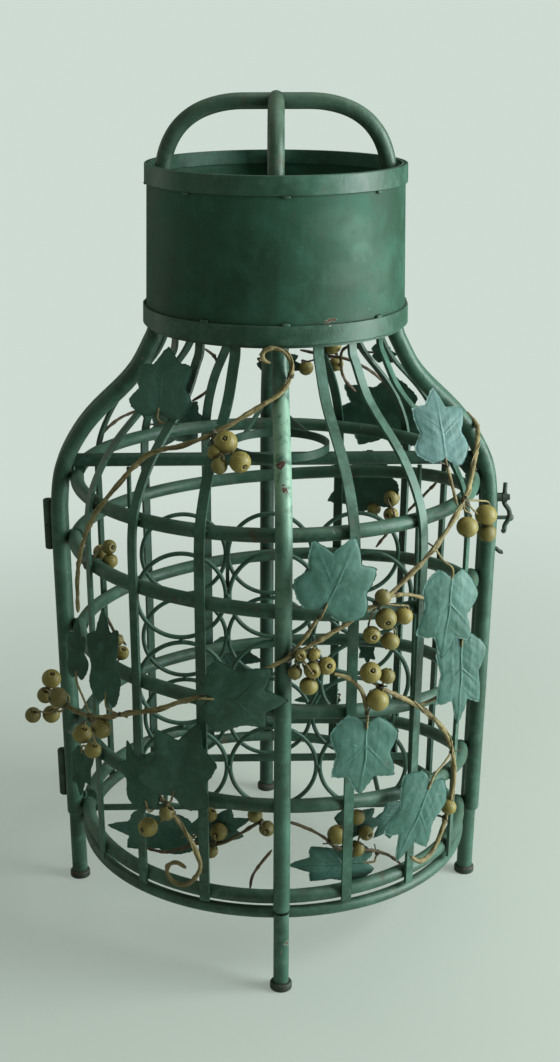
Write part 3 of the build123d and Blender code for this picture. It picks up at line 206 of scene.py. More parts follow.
# vine: CAD node it belongs to, stem radius, points
VINES = {
    "door": [
        ("vine_main_left", 2.1, [
            (-9.9, -137.6, 619.3), (-16.4, -138, 622.8), (-16.4, -138, 629.5),
            (-8, -138.2, 633.6), (3.2, -138.2, 629.6), (9.7, -138, 619.2), (8.6, -139.9, 605.1),
            (0.9, -147.3, 594.2), (-29.1, -154.4, 576.9), (-58.1, -162.8, 560.6),
            (-88.8, -163, 548.9), (-122.2, -155, 537.3), (-146.6, -154.7, 515.9),
            (-167.1, -153, 490), (-182.7, -143.4, 463.2), (-191.1, -136.2, 438.6),
            (-196.6, -128.6, 407.3), (-197.6, -126.7, 369)]),
        ("vine_right", 2.1, [
            (196.9, -4.7, 537.7), (205, -14.9, 527.6), (196.5, -75.8, 520),
            (180.3, -134.5, 493.6), (164.7, -161.6, 474.2), (133.4, -192.5, 444.1),
            (99.7, -212.8, 417.7), (76.3, -222.2, 404.1), (52, -229, 390.2),
            (27, -233.2, 376.3), (0.6, -234.6, 361.2), (-27.4, -232.8, 345.7)]),
        ("vine_right_stems", 1.8, [
            (2.1, -234.6, 362.2), (17.7, -234.1, 380.7), (32.2, -232.7, 402.7)]),
        ("vine_right_stems", 1.8, [
            (95.3, -214.8, 415), (109, -208.1, 414.9), (123.2, -200.1, 410.7),
            (141, -187.9, 400.5)]),
        ("vine_right_stems", 1.6, [
            (158.5, -139.6, 519.1), (162.6, -148.4, 502.9), (167, -155.8, 485.2)]),
        ("vine_centre", 2.1, [
            (47.1, -229.6, 344.6), (58.6, -226.9, 340.2), (68.3, -224, 331.8),
            (75.4, -221.6, 320.4), (79.7, -219.7, 301.1)]),
        ("vine_lower_right", 2.3, [
            (91.9, -215.3, 323.6), (108.2, -207.4, 312.8), (125, -197.5, 299.9),
            (142.5, -184.9, 283.5), (161.3, -167.9, 256.2), (173.3, -154.5, 223.4),
            (175.6, -150.9, 191.7), (169.3, -156.9, 161.4), (162.1, -163.7, 139.2),
            (152.4, -172.4, 123.7), (140.2, -182.3, 120.4), (130, -190, 129.4)]),
        ("vine_lower_right", 1.7, [
            (132.4, -192.5, 295.4), (146.3, -182.2, 295.9), (161.7, -168.7, 297.2)]),
        ("vine_left", 2.3, [
            (-77.8, -220.7, 318.9), (-96.8, -212.9, 310.2), (-118.1, -201.6, 298.3),
            (-150.1, -178.7, 282.8), (-181.8, -145.9, 264.9), (-199.7, -119.7, 257.5),
            (-217, -84.2, 250.5)]),
        ("vine_lower_left", 2.1, [
            (-127.7, -194.7, 210.1), (-115, -202.3, 201.9), (-105.4, -207.1, 188.1),
            (-92.9, -212.6, 171.4), (-83.4, -216.2, 154.7), (-79.2, -217.4, 137.7),
            (-86.7, -214.1, 120.5), (-99.6, -208.2, 112), (-110.5, -202.8, 117.6),
            (-111.3, -202.6, 129.7), (-102.3, -207.5, 136.3), (-93.4, -211.5, 132.4)]),
        ("vine_inner", 1.6, [
            (-135.5, -140.1, 115.2), (-115.6, -157.1, 119.8), (-98, -168.8, 129.5),
            (-80.8, -177.9, 141.1), (-57.9, -186.7, 145.7), (-37.2, -192.3, 160.7),
            (-18.5, -195.3, 175.2)]),
        ("vine_inner", 1.6, [
            (5, -196, 174.3), (22.8, -194.6, 166.7), (40.9, -191.4, 154.7),
            (55.3, -187.4, 140.1), (71.8, -181.6, 133.3), (90.8, -172.8, 128.1),
            (110.5, -160.6, 115.4), (124.3, -149.8, 99.9)]),
        ("vine_inner", 1.5, [
            (-8.6, -195.2, 142), (-18.4, -194.3, 128.2), (-27.3, -192.9, 113),
            (-30.3, -192.2, 98)]),
    ],
    "frame": [
        ("vine_rear_neck", 1.7, [
            (-71.5, 140.3, 574.3), (-61.6, 156.8, 562.8), (-57.2, 179.5, 544.2),
            (-61.8, 196.5, 524.1), (-72.2, 201.8, 510.1), (-87.2, 201.1, 500.9)]),
        ("vine_rear_neck", 1.7, [
            (139.4, 154.2, 521.2), (113.7, 148.6, 545.5), (88.8, 147.4, 559.4),
            (61.7, 156.2, 563.4), (34, 159.2, 568.5)]),
        ("vine_rear_neck", 1.7, [
            (89.5, 120.3, 583.1), (80, 137, 573), (80.1, 161.7, 551.8),
            (86.7, 183.5, 528.5), (99.8, 187.6, 513.5)]),
        ("vine_rear", 1.7, [
            (188.8, 136.5, 421.1), (177.6, 150.7, 402.7), (163.9, 165.3, 381.5),
            (150.7, 177.2, 363.3), (137.2, 187.5, 340.4), (127.7, 193.9, 324.7)]),
        ("vine_rear", 1.7, [
            (-193.3, 127, 276.4), (-186.3, 136.4, 257.9), (-178.2, 146.2, 236.5),
            (-167.5, 157.7, 217.9)]),
        ("vine_rear", 1.7, [
            (-188.6, 127.6, 479.8), (-175.7, 139.7, 490.3), (-162.7, 150.1, 496.7),
            (-145.4, 164.8, 499.8)]),
    ],
}
# zone: (body, CAD node of its leaves, CAD node of its beads)
ZONES = {"door_upper": ("door", "door_leaves_upper", "door_beads_upper"),
         "door_lower": ("door", "door_leaves_lower", "door_beads_lower"),
         "rear": ("frame", "rear_leaves", "rear_beads")}


def zone_of(body, z):
    if body == "frame":
        return "rear"
    return "door_upper" if z >= 300 else "door_lower"


# ---------------------------------------------------------------- cage geometry
def unit(vector):
    vector = np.array(vector, float)
    return vector / np.linalg.norm(vector)


def at(azimuth, radius, z):
    angle = math.radians(azimuth)
    return np.array((radius * math.sin(angle), -radius * math.cos(angle), z))


def level_side(out):
    """Horizontal direction at right angles to an outward one."""
    return np.array((-out[1], out[0], 0.0))


def body_radius(z):
    radii, heights = zip(*BODY_PROFILE)
    return np.interp(z, heights, radii)


def hoop_radius(z):
    """Centre radius of a hoop tube; it draws in further above the waist."""
    draw_in = max(0.0, z - WAIST_Z) ** 2 * 0.0022
    return body_radius(min(z, WAIST_Z)) - (STILE_R + HOOP_R) - draw_in


def hoop_z(hoop, azimuth):
    """Height of a hoop at an azimuth, eased between the points of its table."""
    final = len(hoop) - 1

    def slope(i):
        before, after = hoop[max(i - 1, 0)], hoop[min(i + 1, final)]
        return (after[1] - before[1]) / (after[0] - before[0])

    i = 0
    while i < final - 1 and azimuth > hoop[i + 1][0]:
        i += 1
    (start, start_z), (end, end_z) = hoop[i], hoop[i + 1]
    span = end - start
    t = (azimuth - start) / span
    return ((2 * t ** 3 - 3 * t ** 2 + 1) * start_z
            + (t ** 3 - 2 * t ** 2 + t) * span * slope(i)
            + (3 * t ** 2 - 2 * t ** 3) * end_z + (t ** 3 - t ** 2) * span * slope(i + 1))


def strap_azimuth(low, high, z):
    return low + (high - low) * max(0.0, (z - WAIST_Z) / 200)


# ---------------------------------------------------------------- shader nodes
class Nodes:
    """Node tree of a material or world, emptied and ready to fill."""

    def __init__(self, owner):
        owner.use_nodes = True
        self.tree = owner.node_tree
        self.tree.nodes.clear()

    def node(self, kind, inputs=None, **settings):
        made = self.tree.nodes.new(kind)
        for key, value in settings.items():
            setattr(made, key, value)
        for key, value in (inputs or {}).items():
            self.feed(made.inputs[key], value)
        return made

    def feed(self, socket, value):
        """Link a socket, or set its value; a three-part colour becomes opaque."""
        if isinstance(value, bpy.types.NodeSocket):
            self.tree.links.new(value, socket)
        elif isinstance(value, tuple) and len(value) == 3 and len(socket.default_value) == 4:
            socket.default_value = value + (1.0,)
        else:
            socket.default_value = value


class Material(Nodes):
    def __init__(self, name):
        self.material = bpy.data.materials.new(name)
        super().__init__(self.material)
        self.shader = self.node("ShaderNodeBsdfPrincipled")
        self.output = self.node("ShaderNodeOutputMaterial", {0: self.shader.outputs[0]})
        self.coords = self.node("ShaderNodeTexCoord").outputs["Object"]

    def squeezed(self, z, vector=None):
        """Coordinates scaled along Z only."""
        return self.node("ShaderNodeMapping",
                         {"Scale": (1, 1, z), "Vector": vector or self.coords}).outputs[0]

    def noise(self, scale, detail=5, rough=0.55, warp=0, vector=None, seed=0):
        inputs = {"W": seed, "Scale": scale, "Detail": detail, "Roughness": rough,
                  "Distortion": warp, "Vector": vector or self.coords}
        return self.node("ShaderNodeTexNoise", inputs, noise_dimensions="4D").outputs[0]

    def math(self, operation, first, second, clamp=False):
        return self.node("ShaderNodeMath", {0: first, 1: second},
                         operation=operation, use_clamp=clamp).outputs[0]

    def add(self, first, second):
        return self.math("ADD", first, second)

    def sub(self, first, second, clamp=False):
        return self.math("SUBTRACT", first, second, clamp)

    def mul(self, first, second, clamp=False):
        return self.math("MULTIPLY", first, second, clamp)

    def ramp(self, value, low, high, to=(0, 1)):
        """Smooth step from low to high."""
        inputs = {"Value": value, "From Min": low, "From Max": high,
                  "To Min": to[0], "To Max": to[1]}
        return self.node("ShaderNodeMapRange", inputs, interpolation_type="SMOOTHSTEP").outputs[0]

    def mask(self, mask, amount):
        return mask if amount is None else self.mul(mask, amount)

    def cover(self, base, top, mask, amount=None):
        """Colour base, turning to top where the mask is 1."""
        return self.node("ShaderNodeMix", {0: self.mask(mask, amount), 6: base, 7: top},
                         data_type="RGBA").outputs[2]

    def shift(self, base, top, mask, amount=None):
        """The same for single values."""
        return self.node("ShaderNodeMix", {0: self.mask(mask, amount), 2: base, 3: top},
                         data_type="FLOAT").outputs[0]

    def corners(self, reach, low, high, amount):
        """Mask of painted shade in places closed in by other surfaces within reach, m."""
        occlusion = self.node("ShaderNodeAmbientOcclusion", {"Distance": reach}, samples=6)
        return self.ramp(occlusion.outputs["AO"], low, high, to=(0, amount))

    def facing_up(self):
        normal = self.node("ShaderNodeNewGeometry").outputs["Normal"]
        return self.node("ShaderNodeSeparateXYZ", {0: normal}).outputs[2]

    def length(self, vector):
        return self.node("ShaderNodeVectorMath", {0: vector}, operation="LENGTH").outputs["Value"]

    def blob(self, centre, size):
        """1 inside a soft ellipsoid about centre (m), 0 outside."""
        offset = self.node("ShaderNodeVectorMath", {0: self.coords, 1: centre},
                           operation="SUBTRACT").outputs[0]
        scaled = self.node("ShaderNodeVectorMath", {0: offset, 1: size},
                           operation="DIVIDE").outputs[0]
        return self.ramp(self.length(scaled), low=0.65, high=1.35, to=(1, 0))

    def finish(self, inputs, height, strength, distance):
        """Feed the shader, with a bump from the height field, and hand back the material."""
        bump = self.node("ShaderNodeBump",
                         {"Strength": strength, "Distance": distance, "Height": height})
        for key, value in {**inputs, "Normal": bump.outputs[0]}.items():
            self.feed(self.shader.inputs[key], value)
        return self.material


# ---------------------------------------------------------------- material recipes
RUST = (0.105, 0.045, 0.018)


def enamel(name, dark, mid, light, *, seed, chips, rust, cloud, rough, dust,
           patches=(), wash=(), spec=0.5, relief=0.55):
    """Aged brushed enamel on iron: cloudy, chipped to red-brown primer, rusty and dusty, with
    painted shade where other surfaces close in.

    patches add chips and wash adds older, paler paint; each is (centre m, size m, gain).
    """
    mat = Material(name)
    big = mat.noise(scale=cloud, detail=4, rough=0.6, warp=0.4, seed=seed)
    medium = mat.noise(scale=cloud * 4.2, rough=0.62, warp=0.2, seed=seed + 3)
    fine = mat.noise(scale=420, detail=3, rough=0.6, seed=seed + 5)
    streak = mat.noise(scale=60, detail=4, rough=0.6, vector=mat.squeezed(z=0.18), seed=seed + 7)
    fleck = (light[0] * 1.25, light[1] * 1.15, light[2] * 1.1)
    colour = mat.cover(dark, mid, mat.ramp(big, low=0.36, high=0.64))
    colour = mat.cover(colour, light, mat.ramp(medium, low=0.45, high=0.72), amount=0.75)
    colour = mat.cover(colour, light, mat.ramp(streak, low=0.50, high=0.75), amount=0.35)
    colour = mat.cover(colour, dark, mat.ramp(streak, low=0.46, high=0.25), amount=0.30)
    colour = mat.cover(colour, fleck, mat.ramp(fine, low=0.35, high=0.75), amount=0.16)

    # dust on faces that look up
    settled = mat.noise(scale=30, detail=3, seed=seed + 9)
    up = mat.mul(mat.ramp(mat.facing_up(), low=0.25, high=0.95),
                 mat.ramp(settled, low=0.30, high=0.70))
    colour = mat.cover(colour, (0.13, 0.20, 0.145), up, amount=dust)

    # older, paler paint
    for centre, size, gain in wash:
        ragged = mat.noise(scale=70, detail=4, rough=0.6, warp=0.4, seed=seed + 37)
        worn = mat.mul(mat.blob(centre, size), mat.ramp(ragged, low=0.30, high=0.50))
        colour = mat.cover(colour, (0.25, 0.40, 0.295), mat.mul(worn, gain, clamp=True))

    # brown grime and rust stains
    stain = mat.ramp(mat.noise(scale=46, rough=0.68, warp=0.6, seed=seed + 11),
                     low=0.60 - 0.08 * rust, high=0.80 - 0.08 * rust)
    colour = mat.cover(colour, RUST, stain, amount=0.30 + 0.35 * rust)

    # chips where the field passes a threshold, with a pale rim just below it
    edge = mat.noise(scale=330, detail=4, rough=0.7, seed=seed + 13)
    field = mat.add(mat.noise(scale=75, detail=3, rough=0.6, warp=0.5, seed=seed + 17),
                    mat.mul(edge, 0.22))
    lift = 0.0
    for centre, size, gain in patches:
        lift = mat.add(lift, mat.mul(mat.blob(centre, size), gain))
    field = mat.add(field, lift)
    threshold = 0.875 - 0.055 * chips
    chip = mat.ramp(field, low=threshold, high=threshold + 0.012)
    rim = mat.ramp(field, low=threshold - 0.022, high=threshold - 0.012)
    mottle = mat.noise(scale=500, detail=3, seed=seed + 19)
    primer = mat.cover((0.085, 0.036, 0.022), (0.15, 0.075, 0.050),
                       mat.ramp(mottle, low=0.4, high=0.7))
    colour = mat.cover(colour, (0.30, 0.36, 0.30), mat.sub(rim, chip, clamp=True), amount=0.75)
    colour = mat.cover(colour, primer, chip)
    # painted shade: darker where other surfaces close in
    colour = mat.cover(colour, (0.018, 0.026, 0.018),
                       mat.corners(reach=0.010, low=0.88, high=0.35, amount=0.72))

    # roughness: varied paint, then duller chips, stains and dust
    gloss = mat.add(rough - 0.09, mat.mul(mat.ramp(medium, low=0.3, high=0.8), 0.20))
    gloss = mat.add(gloss, mat.mul(mat.ramp(fine, low=0.3, high=0.8), 0.08))
    gloss = mat.shift(gloss, 0.85, chip)
    gloss = mat.shift(gloss, 0.8, stain, amount=0.7)
    gloss = mat.shift(gloss, 0.78, up, amount=0.5)

    # height: brush marks, grain and broad hollows, less the chips
    brush = mat.noise(scale=190, detail=3, vector=mat.squeezed(z=0.25), seed=seed + 23)
    hollows = mat.noise(scale=38, detail=3, rough=0.5, seed=seed + 29)
    height = mat.add(mat.mul(brush, 0.5), mat.mul(fine, 0.28))
    height = mat.add(height, mat.mul(hollows, 1.3))
    height = mat.sub(height, mat.mul(chip, 0.45))
    return mat.finish({"Base Color": colour, "Roughness": gloss, "Specular IOR Level": spec},
                      height, strength=relief, distance=0.0009)


def bark(name, pale, brown, dark, *, seed):
    mat = Material(name)
    broad = mat.noise(scale=55, rough=0.65, warp=0.4, seed=seed)
    fine = mat.noise(scale=240, detail=4, rough=0.7, warp=0.8, seed=seed + 2)
    moss = mat.noise(scale=30, detail=3, seed=seed + 4)
    crack = mat.node("ShaderNodeTexVoronoi", {"Scale": 420, "Randomness": 1, "Vector": mat.coords},
                     feature="DISTANCE_TO_EDGE").outputs["Distance"]
    colour = mat.cover(brown, pale, mat.ramp(broad, low=0.38, high=0.66))
    colour = mat.cover(colour, dark, mat.ramp(fine, low=0.48, high=0.70), amount=0.7)
    colour = mat.cover(colour, dark, mat.ramp(crack, low=0.05, high=0), amount=0.6)
    colour = mat.cover(colour, (0.06, 0.10, 0.06), mat.ramp(moss, low=0.60, high=0.72),
                       amount=0.55)
    # painted shade: darker where other surfaces close in
    colour = mat.cover(colour, (0.02, 0.016, 0.01),
                       mat.corners(reach=0.006, low=0.85, high=0.30, amount=0.7))
    rough = mat.ramp(fine, low=0.2, high=0.8, to=(0.48, 0.78))
    height = mat.add(fine, mat.mul(mat.ramp(crack, low=0, high=0.12), 0.5))
    return mat.finish({"Base Color": colour, "Roughness": rough}, height,
                      strength=0.6, distance=0.0006)


def turned_wood(name, *, seed):
    """Waxed turned wood; attribute 'grain' holds each bead's own coordinates, 'tint' its shade."""
    mat = Material(name)
    grain = mat.node("ShaderNodeAttribute", attribute_name="grain").outputs["Vector"]
    tint = mat.node("ShaderNodeAttribute", attribute_name="tint").outputs["Fac"]
    rings = mat.node("ShaderNodeTexWave", {"Scale": 190, "Distortion": 5, "Detail": 3,
                                           "Detail Scale": 1.4, "Vector": grain},
                     wave_type="RINGS", rings_direction="Z").outputs["Fac"]
    fibre = mat.noise(scale=700, detail=4, rough=0.7, vector=mat.squeezed(z=0.10, vector=grain),
                      seed=seed)
    blotch = mat.noise(scale=95, detail=4, rough=0.6, warp=0.3, vector=grain, seed=seed + 1)
    specks = mat.noise(scale=260, detail=3, seed=seed + 5)
    colour = mat.cover((0.225, 0.165, 0.038), (0.345, 0.265, 0.068),
                       mat.ramp(rings, low=0.25, high=0.85))
    colour = mat.cover(colour, (0.130, 0.090, 0.024), mat.ramp(fibre, low=0.50, high=0.72),
                       amount=0.55)
    colour = mat.cover(colour, (0.165, 0.135, 0.040), mat.ramp(blotch, low=0.50, high=0.70),
                       amount=0.60)
    colour = mat.cover(colour, (0.105, 0.088, 0.028), tint, amount=0.65)
    colour = mat.cover(colour, (0.06, 0.04, 0.02), mat.ramp(specks, low=0.68, high=0.74),
                       amount=0.8)
    # painted shade: darker where other surfaces close in
    colour = mat.cover(colour, (0.030, 0.022, 0.010),
                       mat.corners(reach=0.009, low=0.90, high=0.35, amount=0.75))
    rough = mat.ramp(fibre, low=0.3, high=0.8, to=(0.42, 0.62))
    height = mat.add(mat.mul(fibre, 0.6), mat.mul(rings, 0.25))
    return mat.finish({"Base Color": colour, "Roughness": rough}, height,
                      strength=0.35, distance=0.0004)


def bare_metal(name, dark, light, *, rough, seed, metal=0.9):
    mat = Material(name)
    broad = mat.noise(scale=160, rough=0.65, warp=0.3, seed=seed)
    fine = mat.noise(scale=600, detail=3, rough=0.6, seed=seed + 1)
    colour = mat.cover(dark, light, mat.ramp(broad, low=0.35, high=0.68))
    colour = mat.cover(colour, RUST, mat.ramp(fine, low=0.60, high=0.75), amount=0.5)
    # painted shade: darker where other surfaces close in
    colour = mat.cover(colour, (0.02, 0.02, 0.015),
                       mat.corners(reach=0.006, low=0.85, high=0.3, amount=0.7))
    gloss = mat.ramp(broad, low=0.3, high=0.7, to=(rough - 0.08, rough + 0.14))
    return mat.finish({"Base Color": colour, "Metallic": metal, "Roughness": gloss},
                      mat.add(broad, fine), strength=0.35, distance=0.0004)


def dark_iron(name, *, seed, rust, green):
    """Dark paint worn to iron and rust."""
    mat = Material(name)
    broad = mat.noise(scale=48, rough=0.65, warp=0.4, seed=seed)
    wear = mat.noise(scale=190, rough=0.7, warp=0.5, seed=seed + 1)
    specks = mat.noise(scale=380, detail=3, seed=seed + 4)
    paint = (0.035 + 0.02 * green, 0.055 + 0.06 * green, 0.042 + 0.045 * green)
    colour = mat.cover((0.020, 0.030, 0.022), paint, mat.ramp(broad, low=0.35, high=0.65))
    colour = mat.cover(colour, RUST, mat.ramp(wear, low=0.52 - 0.06 * rust, high=0.66),
                       amount=0.35 + 0.6 * rust)
    colour = mat.cover(colour, (0.20, 0.105, 0.05), mat.ramp(specks, low=0.62, high=0.74),
                       amount=0.5)
    # painted shade: darker where other surfaces close in
    colour = mat.cover(colour, (0.012, 0.014, 0.010),
                       mat.corners(reach=0.009, low=0.9, high=0.35, amount=0.7))
    metal = mat.ramp(wear, low=0.30, high=0.42, to=(0.35, 0))
    rough = mat.ramp(wear, low=0.3, high=0.7, to=(0.48, 0.82))
    height = mat.add(mat.mul(broad, 0.8), mat.mul(wear, 0.6))
    return mat.finish({"Base Color": colour, "Metallic": metal, "Roughness": rough}, height,
                      strength=0.7, distance=0.0009)


# ---------------------------------------------------------------- materials
DARK, MID, LIGHT = (0.020, 0.054, 0.031), (0.038, 0.102, 0.067), (0.074, 0.162, 0.120)
paint_tube = enamel("PaintTube", DARK, MID, LIGHT, seed=1,
                    chips=0.75, rust=0.45, cloud=14, rough=0.42, dust=0.45)
paint_post = enamel(
    "PaintPost", (0.021, 0.060, 0.036), (0.040, 0.112, 0.078), (0.080, 0.180, 0.135), seed=5,
    chips=0.70, rust=0.40, cloud=14, rough=0.40, dust=0.35,
    patches=(((-0.003, -0.205, 0.541), (0.006, 0.030, 0.020), 0.15),
             ((0.003, -0.212, 0.522), (0.006, 0.030, 0.012), 0.13),
             ((-0.002, -0.178, 0.574), (0.010, 0.030, 0.008), 0.15),
             ((0.0, -0.214, 0.060), (0.020, 0.020, 0.030), 0.08)),
    wash=(((0.007, -0.196, 0.552), (0.024, 0.075, 0.066), 0.95),
          ((0.006, -0.225, 0.440), (0.018, 0.050, 0.060), 0.30)))
paint_handle = enamel(
    "PaintHandle", (0.034, 0.067, 0.041), (0.060, 0.119, 0.079), (0.098, 0.168, 0.122), seed=11,
    chips=0.45, rust=0.75, cloud=13, rough=0.42, dust=0.60)
paint_hoop = enamel("PaintHoop", DARK, MID, (0.078, 0.166, 0.124), seed=21,
                    chips=0.55, rust=0.9, cloud=17, rough=0.44, dust=0.55)
paint_strap = enamel("PaintStrap", DARK, (0.042, 0.112, 0.078), (0.084, 0.184, 0.142), seed=31,
                     chips=0.40, rust=0.35, cloud=20, rough=0.42, dust=0.3)
# darker copy of the cage enamel: painted shade for the back straps and post and the neck hoop
paint_rear_shade = enamel(
    "PaintRearShade", (0.014, 0.038, 0.024), (0.024, 0.070, 0.046), (0.046, 0.112, 0.082), seed=41,
    chips=0.45, rust=0.5, cloud=18, rough=0.46, dust=0.35)
paint_wire = enamel(
    "PaintWire", (0.014, 0.040, 0.026), (0.026, 0.074, 0.050), (0.050, 0.118, 0.086), seed=51,
    chips=0.35, rust=0.5, cloud=22, rough=0.44, dust=0.35)
paint_collar = enamel(
    "PaintCollar", (0.017, 0.052, 0.029), (0.026, 0.080, 0.050), (0.037, 0.120, 0.084), seed=61,
    chips=0.10, rust=0.22, cloud=7, rough=0.57, dust=0.15, spec=0.28, relief=0.28,
    patches=(((0.052, -0.121, 0.6545), (0.012, 0.022, 0.0030), 0.20),),
    wash=(((0.0725, -0.1055, 0.734), (0.018, 0.026, 0.016), 0.09),
          ((0.077, -0.102, 0.716), (0.012, 0.022, 0.010), 0.10),
          ((0.052, -0.117, 0.745), (0.030, 0.030, 0.014), 0.06),
          ((0.055, -0.115, 0.698), (0.024, 0.026, 0.012), 0.06),
          ((0.095, -0.086, 0.690), (0.016, 0.026, 0.030), 0.06)))
paint_band = enamel(
    "PaintBand", (0.018, 0.054, 0.031), (0.033, 0.098, 0.064), (0.066, 0.150, 0.110), seed=71,
    chips=0.45, rust=0.40, cloud=15, rough=0.44, dust=0.45, relief=0.40,
    patches=(((0.052, -0.124, 0.6525), (0.014, 0.022, 0.0028), 0.17),))
paint_inner = enamel(
    "PaintInner", (0.024, 0.070, 0.046), (0.046, 0.122, 0.086), (0.080, 0.170, 0.128), seed=81,
    chips=0.5, rust=0.4, cloud=16, rough=0.44, dust=0.5)
paint_leaf = enamel(
    "PaintLeaf", (0.038, 0.106, 0.078), (0.060, 0.150, 0.120), (0.090, 0.196, 0.168), seed=91,
    chips=0.15, rust=0.12, cloud=20, rough=0.50, dust=0.15, spec=0.42, relief=0.35)
# paler, bluer copy of the leaf paint: a painted highlight on a leaf in strong light
paint_leaf_highlight = enamel(
    "PaintLeafPaintedHighlight", (0.066, 0.150, 0.130), (0.108, 0.214, 0.204), (0.150, 0.262, 0.258), seed=95,
    chips=0.15, rust=0.10, cloud=20, rough=0.46, dust=0.10, relief=0.35)
# darker copy of the leaf paint: painted shade on leaves at the left and at the back
paint_leaf_shade = enamel(
    "PaintLeafPaintedShade", (0.020, 0.054, 0.035), (0.034, 0.092, 0.064), (0.062, 0.138, 0.106), seed=101,
    chips=0.2, rust=0.25, cloud=20, rough=0.50, dust=0.20, spec=0.40, relief=0.35)
iron_hinge = dark_iron("HingeIron", seed=111, rust=0.30, green=0.9)
iron_latch = dark_iron("LatchIron", seed=121, rust=0.15, green=0.35)
iron_foot = dark_iron("FootIron", seed=131, rust=0.70, green=0.15)
pin_steel = bare_metal("PinSteel", (0.22, 0.21, 0.19), (0.36, 0.35, 0.32), rough=0.42, seed=141)
tie_steel = bare_metal("TieWire", (0.075, 0.062, 0.040), (0.19, 0.165, 0.12), rough=0.50,
                       metal=0.55, seed=151)
wood = turned_wood("BeadWood", seed=161)
bark_front = bark("BarkFront", pale=(0.345, 0.268, 0.116), brown=(0.200, 0.145, 0.060),
                  dark=(0.085, 0.054, 0.026), seed=171)
# darker copy of the bark: painted shade for vines and stems at the back and inside the cage
bark_shade = bark("BarkPaintedShade", pale=(0.16, 0.105, 0.050), brown=(0.085, 0.050, 0.025),
                 dark=(0.030, 0.020, 0.012), seed=181)

# CAD node name patterns and their material; the first match wins
CAD_MATERIALS = [
    (("door_hoop*", "rear_hoop*", "base_ring"), paint_hoop),
    (("door_straps",), paint_strap),
    # the darker enamel here is painted shade
    (("rear_straps", "rear_post", "neck_hoop"), paint_rear_shade),
    (("rack*",), paint_wire),
    (("collar_sheet",), paint_collar),
    (("collar_inner_band",), paint_inner),
    (("collar*", "door_neck_strip"), paint_band),
    (("hinge_pins",), pin_steel),
    (("hinge_*",), iron_hinge),
    (("latch*", "door_stub"), iron_latch),
    (("feet",), iron_foot),
    (("handle*",), paint_handle),
    (("door_post", "front_leg"), paint_post),
    (("*",), paint_tube),
]
for name, cad_object in NODES.items():
    cad_object.data.materials.clear()
    cad_object.data.materials.append(next(
        material for patterns, material in CAD_MATERIALS
        if any(fnmatchcase(name, pattern) for pattern in patterns)))


# ---------------------------------------------------------------- mesh helpers
class Shells:
    """Collects many closed shells into one mesh."""

    def __init__(self):
        self.verts, self.faces, self.attributes = [], [], {}

    def add(self, verts, faces, **attributes):
        start = len(self.verts)
        self.verts.extend(verts)
        self.faces.extend([tuple(i + start for i in face) for face in faces])
        for name, values in attributes.items():
            self.attributes.setdefault(name, []).extend(values)


# mesh attribute: (type, key of its values)
ATTRIBUTE_KINDS = {"grain": ("FLOAT_VECTOR", "vector"), "tint": ("FLOAT", "value")}


def make_object(name, shells, material, body=None, smooth=True):
    mesh = bpy.data.meshes.new(name)
    mesh.from_pydata([tuple(vert) for vert in shells.verts], [], shells.faces)
    mesh.validate()
    for key, values in shells.attributes.items():
        kind, field = ATTRIBUTE_KINDS[key]
        attribute = mesh.attributes.new(key, kind, "POINT")
        attribute.data.foreach_set(field, np.asarray(values, np.float32).ravel())
    mesh.update()
    made = bpy.data.objects.new(name, mesh)
    bpy.context.scene.collection.objects.link(made)
    mesh.materials.append(material)
    if smooth:
        mesh.polygons.foreach_set("use_smooth", [True] * len(mesh.polygons))
    if body:
        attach(made, body)
    return made


def smooth_path(points, step):
    """Centripetal curve through three or more points, resampled about every step mm."""
    points = [np.array(point, float) for point in points]
    points = [2 * points[0] - points[1]] + points + [2 * points[-1] - points[-2]]
    path = []
    for i in range(1, len(points) - 2):
        p0, p1, p2, p3 = quad = points[i - 1:i + 3]
        times = [0.0]
        for start, end in zip(quad, quad[1:]):
            times.append(times[-1] + math.sqrt(np.linalg.norm(end - start)) + 1e-6)
        t0, t1, t2, t3 = times
        steps = max(2, int(np.linalg.norm(p2 - p1) / step))
        for k in range(steps):
            t = t1 + (t2 - t1) * k / steps

            def between(start, end, from_t, to_t):
                return ((to_t - t) / (to_t - from_t) * start
                        + (t - from_t) / (to_t - from_t) * end)

            middle = between(p1, p2, t1, t2)
            early = between(between(p0, p1, t0, t1), middle, t0, t2)
            late = between(middle, between(p2, p3, t2, t3), t1, t3)
            path.append(between(early, late, t1, t2))
    path.append(points[-2])
    return path


def path_frames(path):
    """Tangent and two normals at each point, carried along without twist."""
    tangents = np.gradient(np.array(path), axis=0)
    tangents /= np.linalg.norm(tangents, axis=1)[:, None] + 1e-12
    normal = np.cross(tangents[0], UP)
    if np.linalg.norm(normal) < 1e-3:
        normal = np.cross(tangents[0], (1.0, 0.0, 0.0))
    normal = unit(normal)
    frames = []
    for tangent in tangents:
        normal = normal - tangent * normal.dot(tangent)
        normal /= np.linalg.norm(normal) + 1e-12
        frames.append((tangent, normal, np.cross(tangent, normal)))
    return frames


def tube_faces(rings, seg):
    """Faces of a tube closed to a point at each end: first point, rings, last point."""
    faces = []
    final = 1 + (rings - 1) * seg
    for k in range(seg):
        k2 = (k + 1) % seg
        faces.append((0, 1 + k2, 1 + k))
        for i in range(rings - 1):
            ring = 1 + i * seg
            faces.append((ring + k, ring + k2, ring + k2 + seg, ring + k + seg))
        faces.append((final + seg, final + k, final + k2))
    return faces


